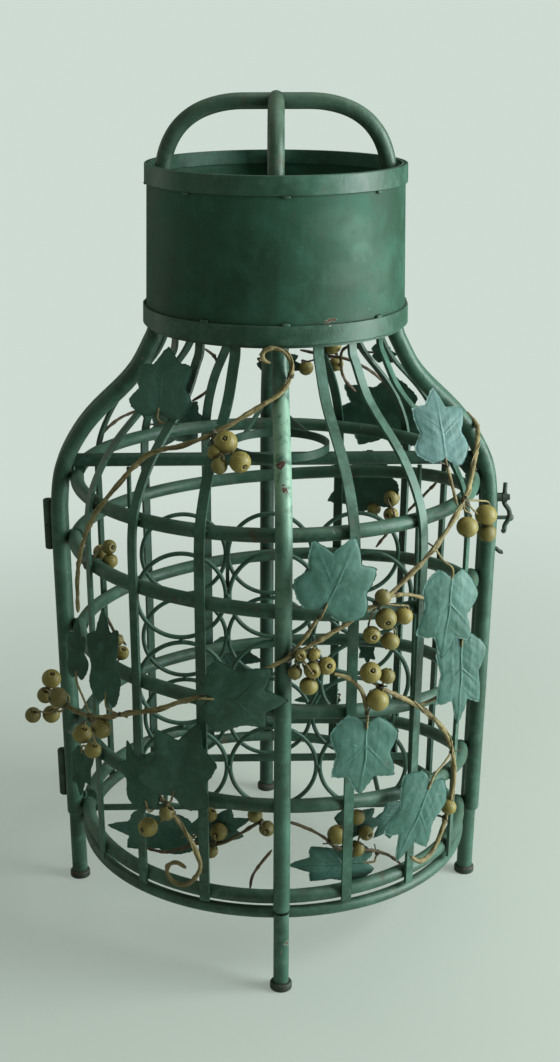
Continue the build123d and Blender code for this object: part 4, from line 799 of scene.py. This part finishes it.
def tube(shells, path, radius, seg):
    """Closed tube along a path; radius is a number or radius(index, distance, angle)."""
    path = [np.array(point, float) for point in path]
    distance = 0.0
    verts = [path[0] * MM]
    for i, (point, (_, across, over)) in enumerate(zip(path, path_frames(path))):
        if i:
            distance += float(np.linalg.norm(point - path[i - 1]))
        for k in range(seg):
            angle = 2 * math.pi * k / seg
            reach = radius(i, distance, angle) if callable(radius) else radius
            verts.append((point + across * (reach * math.cos(angle))
                          + over * (reach * math.sin(angle))) * MM)
    verts.append(path[-1] * MM)
    shells.add(verts, tube_faces(len(path), seg))


# ---------------------------------------------------------------- anchors and binding wire
def cage_points(body):
    """Points on the outside of one half of the cage, for stems to reach."""
    post = POST_AZIMUTH[body]
    heights = range(96, 628, 6)
    points = []
    for hoop in HOOPS[body]:
        for turn in range(-86, 87, 2):
            z = hoop_z(hoop, post + turn)
            points.append(at(post + turn, hoop_radius(z) + HOOP_R, z))
    for low, high in STRAPS[body]:
        for z in heights:
            points.append(at(strap_azimuth(low, high, z), body_radius(z) - STILE_R + STRAP_T, z))
    for z in heights:
        points.append(at(post, body_radius(z) + POST_STANDOFF, z))
    return points


CAGE_POINTS = {body: cage_points(body) for body in HOOPS}
# (stem radius, coarse path) of each vine
VINE_PATHS = {body: [(radius, smooth_path(points, 2.5)) for _, radius, points in rows]
              for body, rows in VINES.items()}
stems = {"door": Shells(), "frame": Shells()}
ties = {"door": Shells(), "frame": Shells()}


def nearest(points, target):
    best = min(points, key=lambda point: float(np.sum((point - target) ** 2)))
    return best, float(np.linalg.norm(best - target))


def anchor(body, target, slack):
    """Closest vine point, unless the cage is nearer by more than slack."""
    vine, vine_gap = min((nearest(path, target) for _, path in VINE_PATHS[body]),
                         key=lambda hit: hit[1])
    cage, cage_gap = nearest(CAGE_POINTS[body], target)
    return vine if vine_gap < cage_gap + slack else cage


def coil(shells, centre, axis, radius, *, turns, seed, wire=0.55, tail=7.0):
    """Hand-twisted binding wire round a member, with two twisted tails."""
    pitch = 1.35
    rnd = random.Random(seed)
    axis = unit(axis)
    across = unit(np.cross(axis, (0.3, 0.2, 1.0)))
    over = np.cross(axis, across)
    path = []
    steps = int(turns * 16)
    for k in range(steps + 1):
        angle = 2 * math.pi * k / 16
        along = (k / steps - 0.5) * turns * pitch
        reach = radius + wire * (0.9 + 0.25 * math.sin(k * 1.7 + seed))
        path.append(centre + axis * (along + 0.3 * math.sin(k * 0.9))
                    + across * reach * math.cos(angle) + over * reach * math.sin(angle))
    end = path[-1]
    lead = unit(unit(end - centre) * 0.8 + axis * rnd.uniform(-0.5, 0.5)
                + over * rnd.uniform(-0.4, 0.4))
    sway = np.cross(lead, axis)

    def tail_points(first, sign):
        return [end + lead * (k * 0.5) + sign * sway * 0.6 * math.sin(k * 0.5 * 2.2)
                for k in range(first, int(tail * 2))]

    tube(shells, path + tail_points(1, 1), wire, seg=6)
    tube(shells, tail_points(0, -1), wire, seg=6)


# ---------------------------------------------------------------- pressed ivy leaves
# Outlines run from the tip (0 degrees, radius 1) to the stem (180 degrees, radius base).
# corners: angle, its jitter, radius, its jitter; lobes: which points are lobe tips
OUTLINES = {
    "broad": dict(base=0.56, lobes=(0, 2), rib_gain=0.7, corners=[
        (25, 0.12, 0.64, 0.07), (49, 0.12, 0.84, 0.11), (84, 0.07, 0.55, 0.08),
        (115, 0.06, 0.78, 0.07), (150, 0.03, 0.76, 0.06)]),
    "lobed": dict(base=0.46, lobes=(0, 2, 4), rib_gain=1.0, corners=[
        (27, 0.10, 0.66, 0.06), (51, 0.08, 0.97, 0.09), (79, 0.06, 0.66, 0.07),
        (108, 0.06, 0.90, 0.09), (146, 0.03, 0.72, 0.06)]),
}
LEAF_RINGS, LEAF_SEG = 18, 128
LEAF_HALF_T = 0.55


def leaf_side(rnd, outline):
    """Jittered (angle, radius) points of one side of a leaf."""
    def jitter(value, spread):
        return value * (1 + rnd.uniform(-spread, spread))

    corners = [(jitter(angle, angle_spread), jitter(radius, radius_spread))
               for angle, angle_spread, radius, radius_spread in outline["corners"]]
    return [(0.0, 1.0), *corners, (180.0, outline["base"])]


def leaf_radius(points, lobes, angle):
    """Outline radius at an angle from the tip, pointed at the lobes and soft in the notches."""
    i = next(i for i in range(len(points) - 1) if angle <= points[i + 1][0])
    (start, start_r), (end, end_r) = points[i], points[i + 1]
    t = (angle - start) / (end - start)
    if i in lobes:
        return end_r + (start_r - end_r) * (1 - t) ** 1.3
    if i + 1 in lobes:
        return start_r + (end_r - start_r) * t ** 1.3
    return start_r + (end_r - start_r) * t * t * (3 - 2 * t)


def ridge(distance, width):
    return math.exp(-(distance / width) ** 2)


def leaf_mesh(shells, normal, stem, tip, width, seed, fold, outline_name):
    """Thin pressed plate with raised ribs, its midrib running from stem to tip."""
    rnd = random.Random(seed)
    outline = OUTLINES[outline_name]
    right_side, left_side = leaf_side(rnd, outline), leaf_side(rnd, outline)
    normal = unit(normal)
    axis = tip - stem
    axis = axis - normal * axis.dot(normal)
    length = float(np.linalg.norm(axis))
    axis /= length
    across = np.cross(axis, normal)

    # unit outline, then fitted to the plate's own length and width
    unit_x, unit_y = [], []
    for k in range(LEAF_SEG):
        angle = 360.0 * k / LEAF_SEG - 180.0
        side = right_side if angle >= 0 else left_side
        radius = leaf_radius(side, outline["lobes"], abs(angle))
        unit_x.append(radius * math.sin(math.radians(angle)))
        unit_y.append(radius * math.cos(math.radians(angle)))
    scale_x = (width * 0.5) / max(max(unit_x), -min(unit_x))
    scale_y = length / (max(unit_y) - min(unit_y))
    centre_y = -min(unit_y) * scale_y

    size = min(width, length)
    rib_gain = (1.15 if size > 45 else 0.85) * outline["rib_gain"]
    bend_along = rnd.uniform(0.05, 0.12) * size
    bend_across = rnd.uniform(0.05, 0.11) * size
    twist = rnd.uniform(-0.07, 0.07)
    offset = Vector((rnd.uniform(0, 50), rnd.uniform(0, 50), rnd.uniform(0, 50)))
    rib_pitch = size * 0.235
    rib_lean = math.radians(rnd.uniform(44, 52))
    lean_sin, lean_cos = math.sin(rib_lean), math.cos(rib_lean)
    rib_shift = (rnd.uniform(-0.25, 0.25) * rib_pitch, rnd.uniform(-0.25, 0.25) * rib_pitch)

    def height(x, y, part):
        """Relief at x, y mm about the rib centre; part is 0 there and 1 at the outline."""
        fade = 1 - 0.45 * part
        raised = 0.85 * rib_gain * ridge(x + 0.35 * math.sin(y * 0.16), 0.85) * fade
        # side ribs climb from the midrib to the margin, cross ribs tie them together into cells
        out = abs(x)
        rib = (y * lean_sin - out * lean_cos + rib_shift[0 if x < 0 else 1]) / rib_pitch
        gap = (rib - round(rib)) * rib_pitch
        raised += 0.62 * rib_gain * ridge(gap, 0.72) * fade * min(1.0, out / 1.5)
        stagger = 0.5 if round(rib) % 2 else 0.0
        for level in (0.15, 0.31, 0.44):
            cross = out - width * (level + 0.05 * stagger) - 0.12 * abs(gap)
            raised += 0.42 * rib_gain * ridge(cross, 0.70) * fade
        # shallow facet between ribs
        raised += 1.6 * abs(rib - round(rib)) * min(1.0, out / 6.0) * (1 - part * part)
        # broad and fine unevenness
        spot = Vector((x * 0.045, y * 0.045, 0)) + offset
        raised += 1.3 * noise.noise(spot * 0.8) + 0.18 * noise.noise(spot * 4.3)
        # bends, fold, twist and a turned-down margin
        along = (y + centre_y) / length
        raised -= bend_along * (along - 0.45) ** 2 * 2
        raised -= bend_across * (x / (width * 0.5)) ** 2 * 0.5
        raised += fold * out
        raised += twist * x * (along - 0.5) * 2
        raised -= 0.65 * max(0.0, part - 0.93) / 0.07
        return raised

    def place(x, y, lift):
        return (stem + axis * (y + centre_y) + across * x + normal * lift) * MM

    verts, faces = [], []
    layer_starts = []
    for sign in (1, -1):
        layer_starts.append(len(verts))
        verts.append(place(0.0, 0.0, height(0.0, 0.0, 0.0) + sign * LEAF_HALF_T))
        for i in range(1, LEAF_RINGS + 1):
            part = i / LEAF_RINGS
            for k in range(LEAF_SEG):
                x, y = unit_x[k] * scale_x * part, unit_y[k] * scale_y * part
                edge, half = 1.0, LEAF_HALF_T
                if i == LEAF_RINGS:     # wavy and thinner at the margin
                    edge = 1 + 0.012 * math.sin(k * 2.4 + seed) + 0.010 * math.sin(k * 5.1)
                    half = LEAF_HALF_T * 0.55
                verts.append(place(x * edge, y * edge, height(x, y, part) + sign * half))
    for start, order in zip(layer_starts, (-1, 1)):
        for k in range(LEAF_SEG):
            k2 = (k + 1) % LEAF_SEG
            faces.append((start, start + 1 + k, start + 1 + k2)[::order])
            for i in range(LEAF_RINGS - 1):
                this = start + 1 + i * LEAF_SEG + k
                beside = start + 1 + i * LEAF_SEG + k2
                faces.append((this, this + LEAF_SEG, beside + LEAF_SEG, beside)[::order])
    top, bottom = (start + 1 + (LEAF_RINGS - 1) * LEAF_SEG for start in layer_starts)
    for k in range(LEAF_SEG):
        k2 = (k + 1) % LEAF_SEG
        faces.append((top + k, bottom + k, bottom + k2, top + k2))
    shells.add(verts, faces)


def leaf_stem(body, normal, stem, tip, seed):
    """Short wire stem from the leaf's foot to the closest vine or cage member, bound there."""
    target = anchor(body, stem, slack=14)
    foot = stem + (tip - stem) * 0.16
    sag = (stem + target) / 2 - normal * 1.5 + np.array((0, 0, -2.0))
    path = smooth_path([foot - normal * 0.6, stem - normal * 0.8, sag, target], 1.2)
    tube(stems[body], path,
         lambda i, distance, angle: 1.15 + 0.12 * math.sin(distance * 0.9 + angle), seg=8)
    direction = path[-1] - path[-4]
    coil(ties[body], target - direction * 0.3, direction, 1.5, turns=3.0, seed=seed)


# leaf paint: (object name suffix, material); dark is painted shade, pale is a painted highlight
LEAF_PAINTS = {"fresh": ("", paint_leaf), "dark": ("_shaded", paint_leaf_shade),
               "pale": ("_painted_highlight", paint_leaf_highlight)}
leaf_shells = {zone: {paint: Shells() for paint in LEAF_PAINTS} for zone in ZONES}
leaf_rows = [(body, row) for body, rows in LEAVES.items() for row in rows]
for i, (body, row) in enumerate(leaf_rows):
    centre, normal, stem, tip = (np.array(value, float) for value in row[1:5])
    width, grow, fold, outline_name, paint = row[5:]
    stem = centre + (stem - centre) * grow
    tip = centre + (tip - centre) * grow
    leaf_mesh(leaf_shells[zone_of(body, centre[2])][paint], normal, stem, tip, width * grow,
              seed=500 + i * 13, fold=fold, outline_name=outline_name)
    leaf_stem(body, normal, stem, tip, seed=i)

for zone, (body, leaf_node, _) in ZONES.items():
    made = [make_object(f"leaves_{zone}{suffix}", leaf_shells[zone][paint], material, body)
            for paint, (suffix, material) in LEAF_PAINTS.items() if leaf_shells[zone][paint].verts]
    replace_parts(made[0], leaf_node)


# ---------------------------------------------------------------- turned beads
BORE_R = 1.9


def bead_mesh(shells, centre, radius, axis, seed):
    rnd = random.Random(seed)
    across = unit(np.cross(axis, (0.21, 0.93, 0.3)))
    over = np.cross(axis, across)
    stretch = rnd.uniform(0.93, 1.00)
    reach = radius * stretch
    # profile: (distance from axis, height along it), out of the bore, over the rim, to the belly
    profile = [(BORE_R, 0.0), (BORE_R, 0.80 * reach), (BORE_R + 0.25, 0.865 * reach),
               (BORE_R + 0.9, 0.90 * reach), (BORE_R + 1.9, 0.905 * reach),
               (BORE_R + 2.5, 0.885 * reach), (BORE_R + 2.75, 0.845 * reach)]
    belly_steps = 12
    rim_angle = math.atan2(0.83 * radius, BORE_R + 3.0)
    for k in range(belly_steps + 1):
        angle = rim_angle * (1 - k / belly_steps)
        groove = 0.10 * math.sin(angle * 40) if 0.2 < angle < 1.0 else 0.0
        profile.append(((radius - groove) * math.cos(angle) ** 0.93,
                        reach * 0.985 * math.sin(angle)))
    profile += [(out, -height) for out, height in profile[::-1][1:-1]]

    seg = 28
    verts, faces, grain = [], [], []
    shade = rnd.random() ** 1.5
    shift = [rnd.uniform(0, 3) for _ in range(3)]
    squash = 1 + rnd.uniform(-0.02, 0.02)
    for out, height in profile:
        out *= squash
        for k in range(seg):
            angle = 2 * math.pi * k / seg
            cos, sin = math.cos(angle), math.sin(angle)
            verts.append((centre + across * out * cos + over * out * sin + axis * height) * MM)
            grain.append((out * cos * MM + shift[0], out * sin * MM + shift[1] * 0.01,
                          height * MM + shift[2]))
    for i in range(len(profile)):
        i2 = (i + 1) % len(profile)
        for k in range(seg):
            k2 = (k + 1) % seg
            faces.append((i * seg + k, i * seg + k2, i2 * seg + k2, i2 * seg + k))
    shells.add(verts, faces, grain=grain, tint=[shade] * len(verts))


def bead_axis(name, body, centre, facing, index):
    out = unit((centre[0], centre[1], 0.0))
    side = np.cross(UP, out)
    if name in BEAD_AXIS:
        return unit(BEAD_AXIS[name])
    if facing == SIDEWAYS:
        return unit(side * (1 if body == "door" else -1) + out * 0.5 - UP * 0.4)
    if facing == HIDDEN:
        return unit(UP + side * 0.6)
    return unit(out + side * (0.12 if index % 2 else -0.15))


def bead_twig(body, centre, radius, axis, mean, root):
    """Twig through one bead, ending in a knot, that runs back to the cluster's root."""
    if (np.linalg.norm(centre - axis * radius * 1.12 - root)
            > np.linalg.norm(centre + axis * radius * 0.80 - root)):
        axis = -axis
    head = centre + axis * radius * 0.80
    tail = centre - axis * radius * 1.12
    bend = (tail + root) / 2 + np.array((0, 0, -1.5)) + (centre - mean) * 0.25
    tube(stems[body], smooth_path([head, centre, tail, bend, root], 1.2),
         lambda i, distance, angle: 1.0 + 0.14 * math.sin(distance * 1.3 + angle * 2), seg=8)
    tube(ties[body], [head, head + axis * 0.9, head + axis * 1.6],
         lambda i, distance, angle: (1.2, 1.5, 0.8)[i], seg=8)


bead_shells = {zone: Shells() for zone in ZONES}
bead_index = count()
for cluster_index, (cluster, rows) in enumerate(BEADS.items()):
    body = "frame" if cluster in REAR_CLUSTERS else "door"
    members = []
    for i, (x, y, z, radius, facing) in enumerate(rows):
        index = next(bead_index)
        centre = np.array((x, y, z), float)
        axis = bead_axis(f"{cluster}{i}", body, centre, facing, index)
        bead_mesh(bead_shells[zone_of(body, z)], centre, radius, axis, seed=900 + index * 7)
        members.append((centre, radius, axis))
    mean = sum(member[0] for member in members) / len(members)
    root = anchor(body, mean, slack=22)
    for member in members:
        bead_twig(body, *member, mean, root)
    lead = mean - root
    coil(ties[body], root, lead + np.array((0.01, 0.02, 0.03)), 2.6,
         turns=4.2, wire=0.6, tail=9.0, seed=40 + cluster_index)
    coil(ties[body], root + lead * 0.18, lead + np.array((0.3, 0.1, 0.0)), 2.0,
         turns=2.6, wire=0.5, tail=6.0, seed=80 + cluster_index)

for zone, (body, _, bead_node) in ZONES.items():
    beads = make_object(f"beads_{zone}", bead_shells[zone], wood, body)
    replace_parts(beads, bead_node)

# ---------------------------------------------------------------- vines
VINE_STEP = 0.9


def vine_mesh(shells, radius, points, seed, tendril):
    """Gnarled stem with knots, tapered ends and, on long vines, a tendril wound round it."""
    path = smooth_path(points, VINE_STEP)
    rnd = random.Random(seed)
    total = sum(float(np.linalg.norm(path[k + 1] - path[k])) for k in range(len(path) - 1))
    knots = []      # (distance along, height, width)
    station = rnd.uniform(12, 30)
    while station < total - 8:
        knots.append((station, rnd.uniform(0.22, 0.42), rnd.uniform(2.0, 3.2)))
        station += rnd.uniform(26, 52)
    phase = rnd.uniform(0, 6)

    def bark_radius(i, s, angle):
        reach = radius * (0.97 + 0.07 * math.sin(0.19 * s + phase)
                          + 0.05 * math.sin(0.57 * s + 2 * phase))
        reach += (radius * 0.085 * math.sin(3 * angle + 0.32 * s + phase)
                  + radius * 0.05 * math.sin(5 * angle - 0.5 * s))
        for knot, height, width in knots:
            away = (s - knot) / width
            if abs(away) < 3:
                reach += radius * height * math.exp(-away * away)
        return reach * (0.55 + 0.45 * min(1.0, min(s, total - s) / 5.0))

    tube(shells, path, bark_radius, seg=12)
    if tendril and total > 110:
        frames = path_frames(path)
        first = int(len(path) * rnd.uniform(0.08, 0.2))
        last = int(len(path) * rnd.uniform(0.5, 0.85))
        reach = radius + 0.55
        spiral = []
        for k in range(first, last, 2):
            _, across, over = frames[k]
            angle = k * VINE_STEP * 0.085 + phase
            spiral.append(path[k] + across * reach * math.cos(angle)
                          + over * reach * math.sin(angle))
        tube(shells, spiral, 0.75, seg=7)


vine_shells = {}
vine_rows = [(body, *row) for body, rows in VINES.items() for row in rows]
for i, (body, node, radius, points) in enumerate(vine_rows):
    shells = vine_shells.setdefault(node, (body, Shells()))[1]
    vine_mesh(shells, radius, points, seed=300 + i,
              tendril=body == "door" and node != "vine_inner")
# vines at the back and inside the cage, and the back's stems, take the darker bark, which is
# painted shade
for node, (body, shells) in vine_shells.items():
    material = bark_front if body == "door" and node != "vine_inner" else bark_shade
    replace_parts(make_object(node + "_bark", shells, material, body), node)
for body, material in (("door", bark_front), ("frame", bark_shade)):
    make_object("stems_" + body, stems[body], material, body)

# bindings where the vines cross the cage
for body, rows in VINE_PATHS.items():
    for i, (radius, path) in enumerate(rows):
        frames = path_frames(path)
        last = -99
        for k in range(4, len(path) - 4, 3):
            gap = nearest(CAGE_POINTS[body], path[k])[1]
            if gap < 10.5 and k - last > 14:
                last = k
                coil(ties[body], path[k], frames[k][0], radius + 0.2,
                     turns=3.4, tail=5.0, seed=k + i)
    make_object("tie_wires_" + body, ties[body], tie_steel, body)


# ---------------------------------------------------------------- weld beads
def weld_lump(shells, centre, along, out, length, height, seed):
    """Small irregular fillet of weld metal, long in one direction."""
    rnd = random.Random(seed)
    along = unit(along)
    out = unit(out - along * np.dot(out, along))
    side = np.cross(along, out)
    rows, seg = 9, 10
    offset = Vector((rnd.uniform(0, 99), rnd.uniform(0, 99), rnd.uniform(0, 99)))
    verts = [(centre - along * length) * MM]
    for i in range(1, rows):
        u = -math.cos(math.pi * i / rows)
        girth = math.sqrt(max(0.0, 1 - u * u)) ** 0.7
        for k in range(seg):
            angle = 2 * math.pi * k / seg
            cos, sin = math.cos(angle), math.sin(angle)
            spot = Vector((u * 1.6, cos, sin)) * 1.9 + offset
            wobble = 1 + 0.22 * noise.noise(spot) + 0.07 * math.sin(u * 11)
            verts.append((centre + along * length * u
                          + (out * cos * height + side * sin * height) * girth * wobble) * MM)
    verts.append((centre + along * length) * MM)
    shells.add(verts, tube_faces(rows - 1, seg))


welds = {"door": Shells(), "frame": Shells()}
weld_seeds = count(2001)


def weld_crossings(body, hoop, tube_r, ring_r=None):
    """Welds where a hoop crosses the straps and the post; ring_r is given for a round ring."""
    for low, high in STRAPS[body]:
        z = hoop_z(hoop, low % 360 if body == "frame" else low)
        radius = ring_r or hoop_radius(z)
        out = at(strap_azimuth(low, high, z), 1.0, 0.0)
        side = level_side(out)
        for sign in (-1, 1):
            seed = next(weld_seeds)
            centre = (out * (radius + tube_r * 0.86) + UP * (z + sign * tube_r * 0.46)
                      + side * ((seed * 37) % 5 - 2) * 0.4)
            weld_lump(welds[body], centre, side, out, length=4.2 + (seed % 3) * 0.5,
                      height=1.45, seed=seed)
    post = POST_AZIMUTH[body]
    z = hoop_z(hoop, post)
    radius = ring_r or hoop_radius(z)
    out = at(post, 1.0, 0.0)
    for sign in (-1, 1):
        centre = out * (radius + tube_r * 0.80) + level_side(out) * sign * 4.6 + UP * z
        weld_lump(welds[body], centre, UP, out, length=5.2, height=2.0, seed=next(weld_seeds))


def weld_hoop_ends(body, hoop):
    y_sign = -1 if body == "door" else 1
    for x_sign in (-1, 1):
        z = hoop[-1 if (x_sign > 0) == (body == "door") else 0][1]
        centre = np.array((x_sign * (hoop_radius(z) + HOOP_R * 0.75), y_sign * 8.2, z))
        weld_lump(welds[body], centre, UP, np.array((-x_sign, y_sign * 0.6, 0.0)),
                  length=6.4, height=2.2, seed=next(weld_seeds))


for body, hoops in HOOPS.items():
    for hoop in hoops:
        weld_crossings(body, hoop, HOOP_R)
        weld_hoop_ends(body, hoop)
weld_crossings("frame", BASE_RING, BASE_TUBE_R, BASE_RING_R)

# handles into the collar, and where the two arches cross
for x, y in ((1, 0), (-1, 0), (0.0393, 0.99923), (-0.0393, -0.99923)):
    out = np.array((x, y, 0.0))
    side = level_side(out)
    for sign in (-1, 1):
        weld_lump(welds["frame"], out * 121.0 + UP * 778.0 + side * sign * 5.0, UP, -out,
                  length=9.0, height=2.3, seed=next(weld_seeds))
    weld_lump(welds["frame"], np.array((x * 7.2 + y * 6.2, y * 7.2 + x * 6.2, 844.4)),
              UP + side * 0.2, out, length=4.2, height=2.0, seed=next(weld_seeds))

# the collar's vertical lap seam at the back; the collar narrows by 3.2 over 155 above z = 634
for k in range(22):
    z = 656 + k * 5.3
    centre = at(180 + 0.25 * math.sin(k * 2.1), 129.8 - (z - 634) / 155 * 3.2 + 0.25, z)
    weld_lump(welds["frame"], centre, np.array((0.12 * math.sin(k), 0, 1.0)),
              np.array((0, 1.0, 0)), length=3.6, height=1.35, seed=3000 + k)

# hinge plates on the left: (height, body, y)
for z, body, y in ((120, "frame", 4.6), (148, "door", -4.6),
                   (406, "frame", 4.6), (434, "door", -4.6)):
    for sign in (-1, 1):
        weld_lump(welds[body], np.array((-(body_radius(z) + 6.0), y, z + sign * 9.0)), UP,
                  np.array((-1.0, 0, 0)), length=5.5, height=1.5, seed=z + sign)

# lumps round the collar: height, radius, azimuths, lump length, lump height, seed offset
COLLAR_LUMPS = [(770.3, 128.1, range(2, 318, 45), 4.2, 1.7, 60),
                (653.2, 130.6, (-33, *range(2, 273, 45)), 4.6, 1.9, 90)]
lug_shells = Shells()
for z, radius, azimuths, length, height, seed_offset in COLLAR_LUMPS:
    for azimuth in azimuths:
        out = at(azimuth, 1.0, 0.0)
        weld_lump(lug_shells, at(azimuth, radius, z), level_side(out), out,
                  length, height, seed=azimuth + seed_offset)
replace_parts(make_object("collar_weld_lumps", lug_shells, paint_band, "frame"),
            "collar_weld_lugs")
for body in welds:
    make_object("weld_beads_" + body, welds[body], paint_tube, body)

# ---------------------------------------------------------------- stage
BACKDROP = (0.62, 0.71, 0.65)
scene = bpy.context.scene


def make_world():
    """The camera sees the backdrop colour; everything else is lit by a dim green fill."""
    world = bpy.data.worlds.new("Room")
    scene.world = world
    room = Nodes(world)
    camera_ray = room.node("ShaderNodeLightPath").outputs["Is Camera Ray"]
    fill = room.node("ShaderNodeBackground", {0: (0.46, 0.60, 0.47), 1: 0.30})
    seen = room.node("ShaderNodeBackground", {0: BACKDROP, 1: 1.0})
    mixed = room.node("ShaderNodeMixShader",
                      {0: camera_ray, 1: fill.outputs[0], 2: seen.outputs[0]})
    room.node("ShaderNodeOutputWorld", {0: mixed.outputs[0]})


def floor_material():
    """Pale floor that fades into the backdrop away from the cage, for the camera only."""
    mat = Material("PaleFloor")
    tone = mat.noise(scale=2.2, detail=3, rough=0.5, seed=3)
    mat.feed(mat.shader.inputs["Base Color"],
             mat.cover((0.50, 0.52, 0.46), (0.55, 0.57, 0.51), tone))
    mat.feed(mat.shader.inputs["Roughness"], mat.ramp(tone, low=0.2, high=0.8, to=(0.55, 0.68)))
    camera_ray = mat.node("ShaderNodeLightPath").outputs["Is Camera Ray"]
    fade = mat.ramp(mat.length(mat.coords), low=0.30, high=1.55, to=(0.35, 1))
    glow = mat.node("ShaderNodeEmission", {0: BACKDROP})
    mixed = mat.node("ShaderNodeMixShader", {0: mat.mul(fade, camera_ray),
                                             1: mat.shader.outputs[0], 2: glow.outputs[0]})
    mat.feed(mat.output.inputs[0], mixed.outputs[0])
    return mat.material


def make_floor(half):
    square = Shells()
    square.add([(-half, -half, 0), (half, -half, 0), (half, half, 0), (-half, half, 0)],
               [(0, 1, 2, 3)])
    make_object("floor", square, floor_material(), smooth=False)


def area_light(name, location, target, size, watts, colour):
    light = bpy.data.lights.new(name, "AREA")
    light.shape = "RECTANGLE"
    light.size, light.size_y = size
    light.energy = watts
    light.color = colour
    lamp = bpy.data.objects.new(name, light)
    scene.collection.objects.link(lamp)
    lamp.location = location
    aim = Vector(target) - Vector(location)
    lamp.rotation_euler = aim.to_track_quat("-Z", "Y").to_euler()


def make_camera(azimuth, distance, height, pitch, roll, yaw):
    """Camera at an azimuth; it looks at the axis, turned by yaw, pitched down and rolled."""
    camera_data = bpy.data.cameras.new("Camera")
    camera = bpy.data.objects.new("Camera", camera_data)
    scene.collection.objects.link(camera)
    scene.camera = camera
    azimuth, pitch, roll, yaw = (math.radians(angle) for angle in (azimuth, pitch, roll, yaw))
    place = Vector((distance * math.sin(azimuth), -distance * math.cos(azimuth), height))
    heading = azimuth + yaw
    forward = Vector((-math.sin(heading) * math.cos(pitch), math.cos(heading) * math.cos(pitch),
                      -math.sin(pitch)))
    right = forward.cross(Vector((0, 0, 1))).normalized()
    up = right.cross(forward)
    rolled_right = right * math.cos(roll) + up * math.sin(roll)
    rolled_up = -right * math.sin(roll) + up * math.cos(roll)
    turn = Matrix((rolled_right, rolled_up, -forward)).transposed()
    camera.matrix_world = Matrix.Translation(place) @ turn.to_4x4()
    camera_data.sensor_fit = "AUTO"
    camera_data.sensor_width = 36.0
    camera_data.lens = 55.956
    camera_data.shift_x = 0.03356
    camera_data.clip_start, camera_data.clip_end = 0.01, 60.0


make_world()
make_floor(half=14.0)
area_light("KeyRight", location=(1.85, -0.50, 0.95), target=(0, 0, 0.42), size=(1.2, 1.9),
           watts=78.0, colour=(0.86, 1.0, 0.98))
area_light("FillLeft", location=(-2.0, -1.3, 1.1), target=(0, 0, 0.4), size=(1.4, 1.6),
           watts=2.2, colour=(1.0, 1.0, 0.86))
area_light("RimLeft", location=(-1.9, 1.0, 0.9), target=(0, 0, 0.4), size=(0.8, 1.5),
           watts=3.0, colour=(1.0, 1.0, 0.90))
area_light("Top", location=(0.5, 0.3, 2.6), target=(0, 0, 0.3), size=(1.4, 1.4),
           watts=9.0, colour=(1.0, 1.0, 0.90))
make_camera(azimuth=-2.25412, distance=1.645946, height=0.951480,
            pitch=18.2295, roll=-0.0952, yaw=1.0942)
scene.view_settings.view_transform = "Standard"
